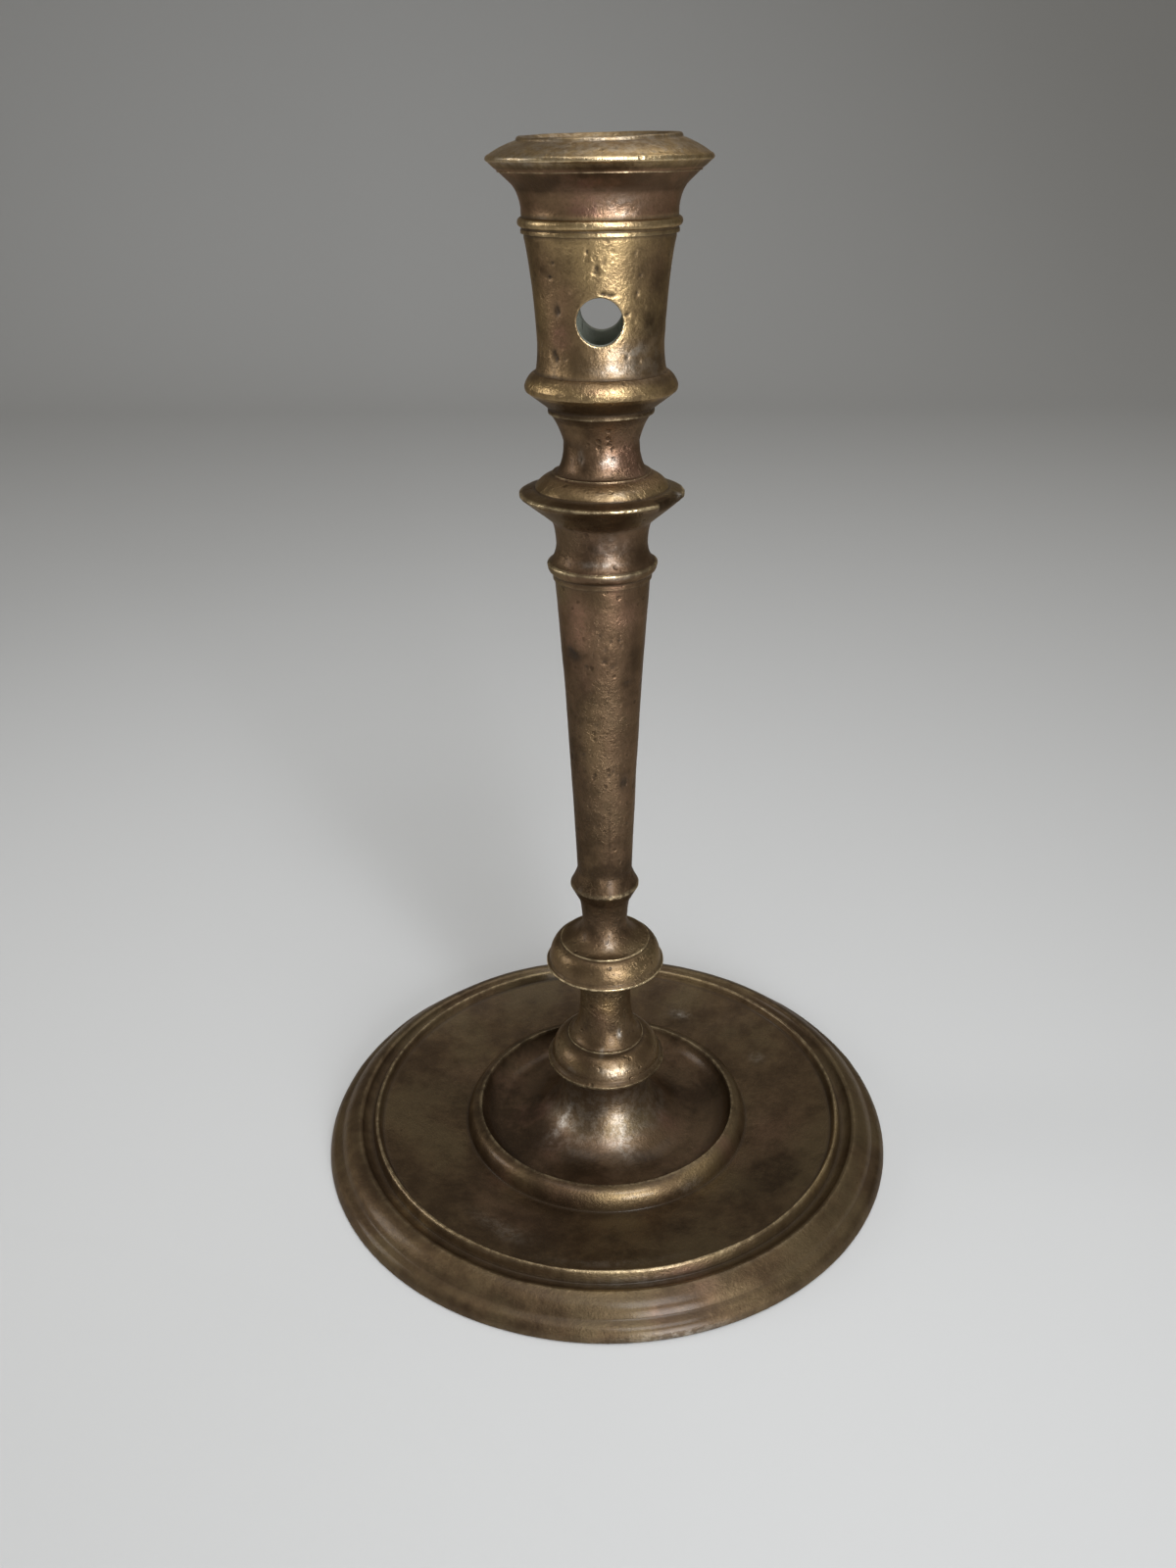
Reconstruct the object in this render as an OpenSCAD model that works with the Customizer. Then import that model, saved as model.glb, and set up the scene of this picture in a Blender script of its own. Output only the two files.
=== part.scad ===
// Turned bronze candlestick: a cast foot with a drip pan, and a cast stem with a pierced candle socket.
// The stem stands on the crown of the foot's bell and is drawn down by an iron stud, a washer and a nut.
// Lengths are millimetres. Z is up, and the origin is the centre of the foot where it stands.
// Every outline is a half section, radius first and height second, turned about Z.
// A share of 0 makes a curve straight, and a share of 1 makes it a full quarter ellipse.

/* [Bell] */
// Radius of the bell's waist
waist_r = 12; // [11.6:0.1:13]
// Distance from the bell's waist up to the crown's underside
waist_under_h = 1.6; // [1:0.1:4]
// Width of the hollow flare from the waist out to the well's floor
flare_w = 14; // [11:0.1:16]
// Radius of the bell's crown under the stem
bell_r = 15.7; // [14.6:0.1:16.2]
// Height of the crown, on which the stem stands, above the ground
seat_z = 25.2; // [23:0.1:28]
// Height of the straight edge round the crown
bell_edge_h = 0.8; // [0.4:0.1:1.2]
// Thickness of the bell's crown
crown_t = 4.6; // [3.8:0.1:6]
// Thickness of the bell's wall
bell_wall = 2.8; // [2.2:0.1:3.2]

/* [Well and inner ring] */
// Height of the well's floor above the ground
well_floor_z = 3.9; // [3.4:0.1:5]
// Width of the well's flat floor
well_flat_w = 5; // [3:0.1:8]
// Width of the hollow curve from the well's floor up to its edge
well_side_w = 5.2; // [4:0.1:7]
// Height of the sharp edge between the well and the ring
well_z = 9.65; // [9:0.05:12]
// Width of the ring's nearly flat top
ring_top_w = 1.7; // [1:0.1:2.4]
// Fall of the ring's top towards the outside
ring_top_fall = 0.45; // [0.2:0.05:0.8]
// Width of the ring's rounded outer side
ring_side_w = 2.5; // [2:0.1:3.4]

/* [Drip pan] */
// Width of the pan's floor from the ring to the lip
pan_w = 24.35; // [18:0.05:30]
// Height of the pan's floor beside the ring
pan_low_z = 3.9; // [3.4:0.1:5]
// Width of the lip at its root
lip_root_w = 2.7; // [2:0.1:3.4]
// Width of the lip at its crest
lip_w = 1.1; // [0.8:0.1:1.6]
// Height of the lip's crest above the ground
lip_z = 9.9; // [9.4:0.1:12]
// Depth of the groove outside the lip below its crest
lip_out_h = 3.3; // [2.4:0.1:4]
// Depth of the pan inside the lip below its crest
lip_in_h = 2.5; // [1.6:0.1:3.4]
// Thickness of the foot's metal
foot_wall = 2.4; // [2:0.1:2.8]

/* [Foot skirt] */
// Width of the hollow from the lip out to the shoulder
cove_w = 3.05; // [2.2:0.05:4.5]
// Width of the shoulder's flat crown
crown_w = 0.9; // [0.4:0.1:1.5]
// Width of the skirt's rounded shoulder
shoulder_w = 5; // [4:0.1:6]
// Rise of the shoulder above the groove
shoulder_h = 3.9; // [3:0.1:5]
// Width of the groove above the band
band_groove_w = 0.6; // [0.3:0.1:1]
// Rise of the groove above the band
band_groove_h = 0.4; // [0.2:0.1:0.8]
// Width of the rounded band round the skirt's lower edge
band_w = 3.1; // [2:0.1:4]
// Height of that band
band_h = 4.2; // [3:0.1:5]
// Width of the flat ring that the foot stands on
stand_w = 3.6; // [2.6:0.1:5]

/* [Stem base] */
// Radius of the collar at the bottom of the stem
collar_r = 16.4; // [15.9:0.1:17.4]
// Height of the collar's straight edge
collar_h = 0.6; // [0.4:0.1:1.2]
// Height of the hollow bevel above the collar
bevel_h = 1.1; // [0.8:0.1:1.6]
// Radius of the rounded moulding on the bevel
base_ovolo_r = 15.3; // [14.4:0.1:15.7]
// Height of that moulding
base_ovolo_h = 5.9; // [5:0.1:6.8]
// Radius of the thin ring on the moulding
base_fillet_r = 10.6; // [10:0.1:11.4]
// Height of the thin ring
base_fillet_h = 0.6; // [0.4:0.1:1]
// Height of the hollow flare above the thin ring
base_flare_h = 10.6; // [8:0.1:13]
// Radius of the neck between the flare and the lower knop
base_neck_r = 7; // [6.6:0.1:7.6]
// Height of that neck
base_neck_h = 8; // [5:0.1:11]

/* [Lower knop] */
// Radius of the knop's sharp lower edge
knop_r = 16; // [15:0.1:17]
// Height of the hollow underside
knop_under_h = 5.6; // [4:0.1:7]
// Height of the sharp edge
knop_edge_h = 0.5; // [0.3:0.1:0.8]
// Width of the narrow shelf above the edge
knop_shelf_w = 0.8; // [0.4:0.1:1.2]
// Rise of that shelf
knop_shelf_h = 0.8; // [0.4:0.1:1.2]
// Height of the rounded band above the shelf
knop_band_h = 5.5; // [4.2:0.1:6.4]
// Radius of the thin step on the band
knop_step_r = 12.1; // [11.2:0.1:13]
// Height of the thin step
knop_step_h = 0.6; // [0.4:0.1:1]
// Height of the hollow flare from the step to the neck
knop_flare_h = 6; // [5:0.1:8]
// Radius of the neck between the knop and the lower ring
low_neck_r = 6.05; // [5.8:0.05:6.8]

/* [Lower ring] */
// Radius of the ring's sharp edge
low_ring_r = 9.1; // [8.8:0.1:10]
// Radius where the neck meets the ring's underside
low_ring_root_r = 7.4; // [6.8:0.1:8]
// Height of the neck under the ring
low_ring_cove_h = 7.6; // [5:0.1:10]
// Rise of the conical underside
low_ring_under_h = 3.3; // [1.6:0.1:4.4]
// Height of the ring's edge
low_ring_edge_h = 0.5; // [0.4:0.1:1]
// Height of the hollow curve from the ring to the shaft
low_ring_top_h = 4.4; // [3:0.1:7]

/* [Shaft] */
// Radius at the foot of the shaft
shaft_low_r = 7.2; // [6.8:0.1:7.8]
// Radius at the head of the shaft
shaft_top_r = 11.45; // [10.6:0.05:12]
// Length of the tapered shaft
shaft_h = 80; // [60:0.1:100]

/* [Upper ring] */
// Radius of the ring's sharp edge
up_ring_r = 13.1; // [12.6:0.1:14]
// Radius of the thin step under the ring
up_step_r = 11.85; // [11.4:0.05:12.3]
// Height of that step
up_step_h = 1.4; // [0.6:0.1:1.6]
// Height of the rounded underside
up_ring_under_h = 1.9; // [1.4:0.1:3]
// Height of the ring's edge
up_ring_edge_h = 0.5; // [0.3:0.1:1]
// Height of the hollow curve from the ring to the neck
up_ring_top_h = 4.4; // [3:0.1:6]
// Radius of the neck between the ring and the flange
up_neck_r = 10.85; // [10:0.05:11.6]
// Height of the hollow curve from that neck to the flange
up_neck_h = 5.9; // [5:0.1:8]

/* [Flange] */
// Radius of the flange's sharp edge
flange_r = 19.2; // [18:0.1:21]
// Height of the flange's sharp edge
flange_edge_h = 0.6; // [0.3:0.1:0.9]
// Radius where the flange's underside springs from the neck
flange_root_r = 12.1; // [11.6:0.1:13]
// Rise of the underside
flange_under_h = 3.9; // [2.6:0.1:4.6]
// Height of the bevelled lower edge
flange_bevel_h = 1.9; // [1:0.1:2]
// Width of the bevelled lower edge
flange_bevel_w = 2.4; // [1.4:0.1:3]
// Height of the rounded brim above the edge
flange_brim_h = 1; // [0.7:0.1:2]
// Width of the rounded brim
flange_brim_w = 3.7; // [2.4:0.1:4.4]
// Height of the small steps on the flange's top
flange_step_h = 0.4; // [0.3:0.1:0.8]
// Height of the rounded middle part of the top
flange_dome_h = 2.9; // [1.8:0.1:3.4]
// Radius of the upper step on the flange's top
flange_step_r = 11.5; // [10.8:0.1:12.6]

/* [Socket neck] */
// Height of the hollow curve from the flange to the neck
neck_low_h = 7; // [5:0.1:9]
// Smallest radius of the neck
neck_r = 8.7; // [8.2:0.1:9.4]
// Height of the hollow curve from the neck to the socket
neck_top_h = 6.4; // [5:0.1:8]
// Radius of the thin step under the socket
neck_step_r = 12.1; // [11.4:0.1:13]
// Height of that step
neck_step_h = 1.2; // [0.6:0.1:1.6]

/* [Socket] */
// Largest radius of the rounded base of the socket
torus_r = 17.25; // [16.4:0.05:18.4]
// Height of the straight slope under that base
torus_under_h = 3.6; // [3:0.1:5]
// Distance of the slope's upper edge inside that radius
torus_under_w = 0.35; // [0.1:0.05:1]
// Height from that edge to the largest radius
torus_low_h = 1.3; // [0.6:0.1:1.8]
// Height of the rounded part above the largest radius
torus_top_h = 2.8; // [2:0.1:3.6]
// Radius where the rounded base meets the body
torus_top_r = 15.2; // [14.8:0.1:15.8]
// Height of the hollow curve from the base to the body
body_low_h = 6.2; // [4:0.1:8]
// Radius of the body's waist
body_r = 14.05; // [13.8:0.05:14.8]
// Height of the body from its waist to the groove below the bead
body_h = 21.5; // [18:0.1:28]
// Radius of the body at that groove
groove_r = 16.4; // [15.6:0.1:16.6]
// Height of that groove
groove_h = 0.9; // [0.5:0.1:1.2]
// Height of the thin ring below the bead
thin_ring_h = 0.8; // [0.5:0.1:1.2]
// Radius of the thin ring
thin_ring_r = 17.05; // [16.9:0.05:17.4]
// Height of the dark line between the thin ring and the bead
bead_gap_h = 0.4; // [0.3:0.1:0.7]
// Depth of that line below the thin ring
bead_gap_w = 0.15; // [0.1:0.05:0.3]
// Largest radius of the bead
bead_r = 17.75; // [17.4:0.05:18.4]
// Height of the bead
bead_h = 2; // [1.6:0.1:3]
// Radius of the neck above the bead
rim_neck_r = 16.85; // [16.4:0.05:17.3]
// Height of the straight part of that neck
rim_neck_h = 1.8; // [1:0.1:3]
// Height of the hollow curve from that neck to the flare
rim_cove_h = 4.7; // [3:0.1:6]
// Radius where the hollow curve meets the flare
rim_cove_r = 18.8; // [18:0.1:19.8]
// Height of the conical flare
rim_flare_h = 3.1; // [2:0.1:4]
// Radius where the flare meets the rim's underside
rim_root_r = 22.3; // [21:0.1:22.8]
// Largest radius of the rim
rim_r = 24; // [23:0.1:26]
// Rise of the sloping underside of the rim
rim_under_h = 1.2; // [0.8:0.1:2]
// Height of the rim's upright edge
rim_edge_h = 0.7; // [0.4:0.1:1.2]
// Height of the bevel from the rim to the lip
rim_bevel_h = 3.4; // [2.6:0.1:4.6]
// Outer radius of the socket's lip
mouth_r = 17.4; // [16.6:0.1:18.4]
// Height of the socket's lip
mouth_h = 0.8; // [0.5:0.1:1.4]
// Width of the lip's flat top
mouth_w = 1.2; // [0.8:0.1:1.6]

/* [Candle bore] */
// Radius of the bore that holds the candle
bore_r = 11; // [9.5:0.1:11.4]
// Height of the bore's floor above the rounded base of the socket
bore_floor_h = 3.6; // [1:0.1:8]
// Depth of the funnel at the mouth of the bore
funnel_h = 3.4; // [2:0.1:5]
// Radius of the two holes through the socket's wall
hole_r = 4.9; // [3.6:0.1:5.4]
// Height of the middle of these holes above the bottom of the bore
hole_rise = 12.4; // [8:0.1:16]

/* [Tie] */
// Radius of the stem's locating spigot
spigot_r = 6; // [5:0.1:6.4]
// Length of the spigot
spigot_h = 3.6; // [2.4:0.1:3.8]
// Gap between the spigot and its hole in the crown
spigot_gap = 0.15; // [0.05:0.05:0.3]
// Radius of the tie stud
stud_r = 3; // [2.4:0.1:3.4]
// Gap between the stud and the holes that it is screwed into
stud_gap = 0.05; // [0.05:0.01:0.1]
// Depth of the stud's hole above the stem's seat
stud_hole_h = 18; // [12:0.1:24]
// Clear space above the stud in its hole
stud_head_gap = 1.5; // [1:0.1:3]
// Length of the stud that stands out below the nut
stud_tail = 1.6; // [1:0.1:2.4]
// Gap between the washer and the wall of the bell's core
washer_edge_gap = 0.8; // [0.4:0.1:1.4]
// Thickness of the washer
washer_t = 1.6; // [1.2:0.1:2.2]
// Gap between the stud and the washer's hole
washer_gap = 0.3; // [0.1:0.1:0.6]
// Width of the square nut across its flats
nut_w = 10; // [9:0.1:11]
// Height of the nut
nut_h = 5; // [4:0.1:5.6]

/* [Hidden] */
$fn = 96;

// Colours of the cast bronze and of the iron
foot_c = [0.36, 0.26, 0.16];
stem_c = [0.52, 0.38, 0.23];
iron_c = [0.27, 0.25, 0.24];

// A quarter turn
quarter = 90;

// How far a cutting solid runs past what it cuts
overrun = 1;

// Small sizes of the foot: flat bottoms of its grooves, rounding of its lip, and flats of its core
groove_fall = 0.3;
cove_flat_w = 0.8;
lip_round = 0.35;
ring_roof = 3.4;
ring_core_w = 1.2;
stand_round = 0.6;

// Width of the small flat ledge on each thin step and ring of the stem
step_w = 0.35;

// Fullness of the curves
full_share = 1;
round_share = 0.8;
soft_share = 0.55;
body_share = 0.45;
slight_share = 0.35;
shaft_share = 0.25;
flat_share = 0.2;

// Number of straight pieces in a short, a middling and a long curve
short_n = 6;
mid_n = 9;
long_n = 14;

// Radii of the foot, each from the one inside it
flare_r = waist_r + flare_w;
waist_z = seat_z - crown_t - waist_under_h;
well_in_r = flare_r + well_flat_w;
well_r = well_in_r + well_side_w;
ring_out_r = well_r + ring_top_w;
ring_foot_r = ring_out_r + ring_side_w;
lip_foot_in_r = ring_foot_r + pan_w;
lip_r = lip_foot_in_r + lip_root_w / 2;
lip_in_r = lip_r - lip_w / 2;
lip_out_r = lip_r + lip_w / 2;
lip_foot_out_r = lip_foot_in_r + lip_root_w;
crown_r = lip_foot_out_r + cove_w;
shoulder_r = crown_r + crown_w;
groove_in_r = shoulder_r + shoulder_w;
band_top_r = groove_in_r + band_groove_w;
foot_r = band_top_r + band_w;

// Heights of the foot
groove_in_z = band_h + band_groove_h;
shoulder_z = groove_in_z + shoulder_h;
lip_foot_out_z = lip_z - lip_out_h;
lip_foot_in_z = lip_z - lip_in_h;
ring_out_z = well_z - ring_top_fall;
bell_edge_z = seat_z - bell_edge_h;

// Radii and heights of the foot's underside, one metal thickness inside the upper outline
stand_in_r = foot_r - stand_w;
core_r = waist_r - bell_wall;
crown_under_z = seat_z - crown_t;
well_under_z = well_floor_z - foot_wall;
pan_under_z = pan_low_z - foot_wall;
lip_under_z = min(lip_foot_in_z, lip_foot_out_z) - foot_wall;
shoulder_under_z = shoulder_z - foot_wall;

// Heights of the stem's mouldings, each from the one below it
collar_z = seat_z + collar_h;
bevel_z = collar_z + bevel_h;
base_ovolo_z = bevel_z + base_ovolo_h;
base_fillet_z = base_ovolo_z + base_fillet_h;
base_flare_z = base_fillet_z + base_flare_h;
base_neck_z = base_flare_z + base_neck_h;
knop_under_z = base_neck_z + knop_under_h;
knop_edge_z = knop_under_z + knop_edge_h;
knop_shelf_z = knop_edge_z + knop_shelf_h;
knop_band_z = knop_shelf_z + knop_band_h;
knop_step_z = knop_band_z + knop_step_h;
knop_flare_z = knop_step_z + knop_flare_h;
low_ring_cove_z = knop_flare_z + low_ring_cove_h;
low_ring_under_z = low_ring_cove_z + low_ring_under_h;
low_ring_edge_z = low_ring_under_z + low_ring_edge_h;
shaft_z = low_ring_edge_z + low_ring_top_h;
shaft_top_z = shaft_z + shaft_h;
up_step_z = shaft_top_z + up_step_h;
up_ring_under_z = up_step_z + up_ring_under_h;
up_ring_edge_z = up_ring_under_z + up_ring_edge_h;
up_neck_z = up_ring_edge_z + up_ring_top_h;
flange_root_z = up_neck_z + up_neck_h;
flange_under_z = flange_root_z + flange_under_h;
flange_bevel_z = flange_under_z + flange_bevel_h;
flange_edge_z = flange_bevel_z + flange_edge_h;
flange_brim_z = flange_edge_z + flange_brim_h;
flange_low_step_z = flange_brim_z + flange_step_h;
flange_dome_z = flange_low_step_z + flange_dome_h;
flange_top_step_z = flange_dome_z + flange_step_h;
neck_low_z = flange_top_step_z + neck_low_h;
neck_top_z = neck_low_z + neck_top_h;
neck_step_z = neck_top_z + neck_step_h;
torus_under_z = neck_step_z + torus_under_h;
torus_z = torus_under_z + torus_low_h;
torus_top_z = torus_z + torus_top_h;
body_low_z = torus_top_z + body_low_h;
groove_z = body_low_z + body_h;
groove_top_z = groove_z + groove_h;
thin_ring_z = groove_top_z + thin_ring_h;
bead_low_z = thin_ring_z + bead_gap_h;
bead_mid_z = bead_low_z + bead_h / 2;
bead_z = bead_low_z + bead_h;
rim_neck_z = bead_z + rim_neck_h;
rim_cove_z = rim_neck_z + rim_cove_h;
rim_flare_z = rim_cove_z + rim_flare_h;
rim_under_z = rim_flare_z + rim_under_h;
rim_z = rim_under_z + rim_edge_h;
bead_gap_r = thin_ring_r - bead_gap_w;
rim_bevel_z = rim_z + rim_bevel_h;
mouth_z = rim_bevel_z + mouth_h;
mouth_in_r = mouth_r - mouth_w;
funnel_z = mouth_z - funnel_h;
bore_z = torus_under_z + bore_floor_h;
hole_z = bore_z + hole_rise;

// Places of the tie's pieces
spigot_z = seat_z - spigot_h;
stud_hole_r = stud_r + stud_gap;
stud_hole_z = seat_z + stud_hole_h;
stud_top_z = stud_hole_z - stud_head_gap;
washer_r = core_r - washer_edge_gap;
washer_z = crown_under_z - washer_t;
nut_z = washer_z - nut_h;
stud_z = nut_z - stud_tail;

// A curve from p to q in n pieces, without p itself, that leaves p across and reaches q upright
function across_up(p, q, share, n) = [
    for (i = [1:n])
        let (t = quarter * i / n, line = i / n)
        [
            p[0] + (q[0] - p[0]) * (share * sin(t) + (1 - share) * line),
            p[1] + (q[1] - p[1]) * (share * (1 - cos(t)) + (1 - share) * line)
        ]
];

// A curve from p to q in n pieces, without p itself, that leaves p upright and reaches q across
function up_across(p, q, share, n) = [
    for (i = [1:n])
        let (t = quarter * i / n, line = i / n)
        [
            p[0] + (q[0] - p[0]) * (share * (1 - cos(t)) + (1 - share) * line),
            p[1] + (q[1] - p[1]) * (share * sin(t) + (1 - share) * line)
        ]
];

// Upper outline of the skirt and the lip, from the ground inwards
function skirt_outline() = concat(
    [[foot_r - stand_round, 0], [foot_r, stand_round]],
    up_across([foot_r, stand_round], [band_top_r, band_h], round_share, mid_n),
    [[groove_in_r, groove_in_z]],
    up_across([groove_in_r, groove_in_z], [shoulder_r, shoulder_z], soft_share, mid_n),
    [[crown_r, shoulder_z - groove_fall]],
    up_across([crown_r, shoulder_z - groove_fall], [lip_foot_out_r + cove_flat_w, lip_foot_out_z],
        soft_share, short_n),
    [[lip_foot_out_r, lip_foot_out_z]],
    [[lip_out_r, lip_z - lip_round], [lip_out_r - lip_round, lip_z]],
    [[lip_in_r + lip_round, lip_z], [lip_in_r, lip_z - lip_round]],
    [[lip_foot_in_r, lip_foot_in_z]]
);

// Upper outline of the pan, the inner ring, the well and the bell, from the lip inwards
function pan_outline() = concat(
    up_across([lip_foot_in_r, lip_foot_in_z], [ring_foot_r, pan_low_z], flat_share, mid_n),
    up_across([ring_foot_r, pan_low_z], [ring_out_r, ring_out_z], round_share, mid_n),
    [[well_r, well_z]],
    up_across([well_r, well_z], [well_in_r, well_floor_z], round_share, mid_n),
    [[flare_r, well_floor_z]],
    across_up([flare_r, well_floor_z], [waist_r, waist_z], full_share, long_n),
    up_across([waist_r, waist_z], [bell_r, bell_edge_z], full_share, mid_n),
    [[bell_r, seat_z]]
);

// Under outline of the foot, from the spigot's hole outwards to the ring that it stands on
function under_outline() = concat(
    [[spigot_r + spigot_gap, seat_z], [spigot_r + spigot_gap, crown_under_z]],
    [[core_r, crown_under_z], [core_r, waist_z]],
    up_across([core_r, waist_z], [flare_r, well_under_z], full_share, long_n),
    [[well_in_r + foot_wall, well_under_z]],
    up_across([well_in_r + foot_wall, well_under_z], [well_r, well_z - ring_roof], soft_share, short_n),
    [[well_r + ring_core_w, well_z - ring_roof]],
    across_up([well_r + ring_core_w, well_z - ring_roof], [ring_foot_r - foot_wall, pan_under_z],
        soft_share, short_n),
    across_up([ring_foot_r - foot_wall, pan_under_z], [lip_foot_in_r, lip_under_z], flat_share, mid_n),
    [[lip_foot_out_r, lip_under_z]],
    across_up([lip_foot_out_r, lip_under_z], [shoulder_r, shoulder_under_z - cove_flat_w],
        flat_share, short_n),
    across_up([shoulder_r, shoulder_under_z - cove_flat_w], [stand_in_r, 0], soft_share, mid_n)
);

// Outline of the stem's base, from its seat up to the neck below the lower knop
function base_outline() = concat(
    [[collar_r, seat_z], [collar_r, collar_z]],
    across_up([collar_r, collar_z], [base_ovolo_r, bevel_z], soft_share, short_n),
    up_across([base_ovolo_r, bevel_z], [base_fillet_r + step_w, base_ovolo_z], round_share, mid_n),
    [[base_fillet_r, base_ovolo_z], [base_fillet_r, base_fillet_z], [base_fillet_r - step_w, base_fillet_z]],
    across_up([base_fillet_r - step_w, base_fillet_z], [base_neck_r, base_flare_z], round_share, long_n),
    [[base_neck_r, base_neck_z]]
);

// Outline of the lower knop and the lower ring
function knop_outline() = concat(
    up_across([base_neck_r, base_neck_z], [knop_r - step_w, knop_under_z], round_share, mid_n),
    [[knop_r, knop_under_z], [knop_r, knop_edge_z]],
    across_up([knop_r, knop_edge_z], [knop_r - knop_shelf_w, knop_shelf_z], soft_share, short_n),
    up_across([knop_r - knop_shelf_w, knop_shelf_z], [knop_step_r + step_w, knop_band_z],
        round_share, mid_n),
    [[knop_step_r, knop_band_z], [knop_step_r, knop_step_z], [knop_step_r - step_w, knop_step_z]],
    across_up([knop_step_r - step_w, knop_step_z], [low_neck_r, knop_flare_z], round_share, mid_n),
    up_across([low_neck_r, knop_flare_z], [low_ring_root_r, low_ring_cove_z], round_share, mid_n),
    [[low_ring_r, low_ring_under_z], [low_ring_r, low_ring_edge_z]],
    across_up([low_ring_r, low_ring_edge_z], [shaft_low_r, shaft_z], flat_share, mid_n)
);

// Outline of the shaft, the upper ring and the neck above it
function shaft_outline() = concat(
    up_across([shaft_low_r, shaft_z], [shaft_top_r, shaft_top_z], shaft_share, long_n),
    [[up_step_r, shaft_top_z], [up_step_r, up_step_z]],
    across_up([up_step_r, up_step_z], [up_ring_r, up_ring_under_z], round_share, short_n),
    [[up_ring_r, up_ring_edge_z]],
    across_up([up_ring_r, up_ring_edge_z], [up_neck_r, up_neck_z], round_share, mid_n),
    up_across([up_neck_r, up_neck_z], [flange_root_r, flange_root_z], round_share, mid_n)
);

// Outline of the flange and the neck under the socket
function flange_outline() = concat(
    [[flange_r - flange_bevel_w, flange_under_z], [flange_r, flange_bevel_z], [flange_r, flange_edge_z]],
    up_across([flange_r, flange_edge_z], [flange_r - flange_brim_w, flange_brim_z], flat_share, short_n),
    [[flange_r - flange_brim_w, flange_low_step_z]],
    up_across([flange_r - flange_brim_w, flange_low_step_z], [flange_step_r, flange_dome_z],
        body_share, short_n),
    [[flange_step_r, flange_top_step_z], [flange_step_r - step_w, flange_top_step_z]],
    across_up([flange_step_r - step_w, flange_top_step_z], [neck_r, neck_low_z], full_share, mid_n),
    up_across([neck_r, neck_low_z], [neck_step_r - step_w, neck_top_z], slight_share, mid_n),
    [[neck_step_r, neck_top_z], [neck_step_r, neck_step_z]]
);

// Outline of the socket up to its lip
function socket_outline() = concat(
    [[torus_r - torus_under_w, torus_under_z]],
    across_up([torus_r - torus_under_w, torus_under_z], [torus_r, torus_z], full_share, short_n),
    up_across([torus_r, torus_z], [torus_top_r, torus_top_z], body_share, short_n),
    [[torus_top_r - step_w, torus_top_z]],
    across_up([torus_top_r - step_w, torus_top_z], [body_r, body_low_z], round_share, mid_n),
    up_across([body_r, body_low_z], [groove_r, groove_z], body_share, long_n),
    [[groove_r, groove_top_z], [thin_ring_r, groove_top_z], [thin_ring_r, thin_ring_z]],
    [[bead_gap_r, thin_ring_z], [bead_gap_r, bead_low_z]],
    across_up([bead_gap_r, bead_low_z], [bead_r, bead_mid_z], full_share, short_n),
    up_across([bead_r, bead_mid_z], [rim_neck_r, bead_z], full_share, short_n),
    up_across([rim_neck_r, rim_neck_z], [rim_cove_r, rim_cove_z], soft_share, mid_n),
    [[rim_root_r, rim_flare_z], [rim_r, rim_under_z], [rim_r, rim_z]],
    up_across([rim_r, rim_z], [mouth_r, rim_bevel_z], flat_share, mid_n),
    [[mouth_r, mouth_z], [mouth_in_r, mouth_z]]
);

// Outline of the candle bore, its funnel, the stud's hole and the spigot
function stem_core_outline() = [
    [bore_r, funnel_z], [bore_r, bore_z], [0, bore_z],
    [0, stud_hole_z], [stud_hole_r, stud_hole_z], [stud_hole_r, spigot_z],
    [spigot_r, spigot_z], [spigot_r, seat_z]
];

// The cast foot: skirt, drip pan, inner ring, well and bell in one casting, hollow underneath
module foot() {
    color(foot_c)
    rotate_extrude()
    polygon(concat(skirt_outline(), pan_outline(), under_outline()));
}

// The cast stem: base, knop, rings, shaft, flange and socket in one casting
module stem() {
    color(stem_c)
    difference() {
        rotate_extrude()
        polygon(concat(
            base_outline(), knop_outline(), shaft_outline(),
            flange_outline(), socket_outline(), stem_core_outline()
        ));
        // The round hole through both walls of the socket, by which a candle stub is pushed out
        translate([0, 0, hole_z])
        rotate([quarter, 0, 0])
        cylinder(r = hole_r, h = 2 * (torus_r + overrun), center = true);
    }
}

// The iron stud that ties the stem to the foot
module tie_stud() {
    color(iron_c)
    translate([0, 0, stud_z])
    cylinder(r = stud_r, h = stud_top_z - stud_z);
}

// The iron washer under the crown of the bell
module tie_washer() {
    color(iron_c)
    translate([0, 0, washer_z])
    difference() {
        cylinder(r = washer_r, h = washer_t);
        translate([0, 0, -overrun])
        cylinder(r = stud_r + washer_gap, h = washer_t + 2 * overrun);
    }
}

// The square iron nut under the washer
module tie_nut() {
    color(iron_c)
    translate([0, 0, nut_z])
    difference() {
        translate([-nut_w / 2, -nut_w / 2, 0])
        cube([nut_w, nut_w, nut_h]);
        translate([0, 0, -overrun])
        cylinder(r = stud_hole_r, h = nut_h + 2 * overrun);
    }
}

foot();
stem();
tie_stud();
tie_washer();
tie_nut();
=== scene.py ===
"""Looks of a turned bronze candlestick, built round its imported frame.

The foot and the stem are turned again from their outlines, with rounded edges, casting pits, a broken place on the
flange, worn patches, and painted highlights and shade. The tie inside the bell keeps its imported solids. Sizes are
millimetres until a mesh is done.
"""

import logging
import math
import random
from dataclasses import dataclass, field, replace
from enum import Enum
from functools import cached_property
from typing import Callable, Iterable, Sequence

import bmesh
import bpy
from mathutils import Matrix, Vector, noise
from mathutils.kdtree import KDTree

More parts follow.
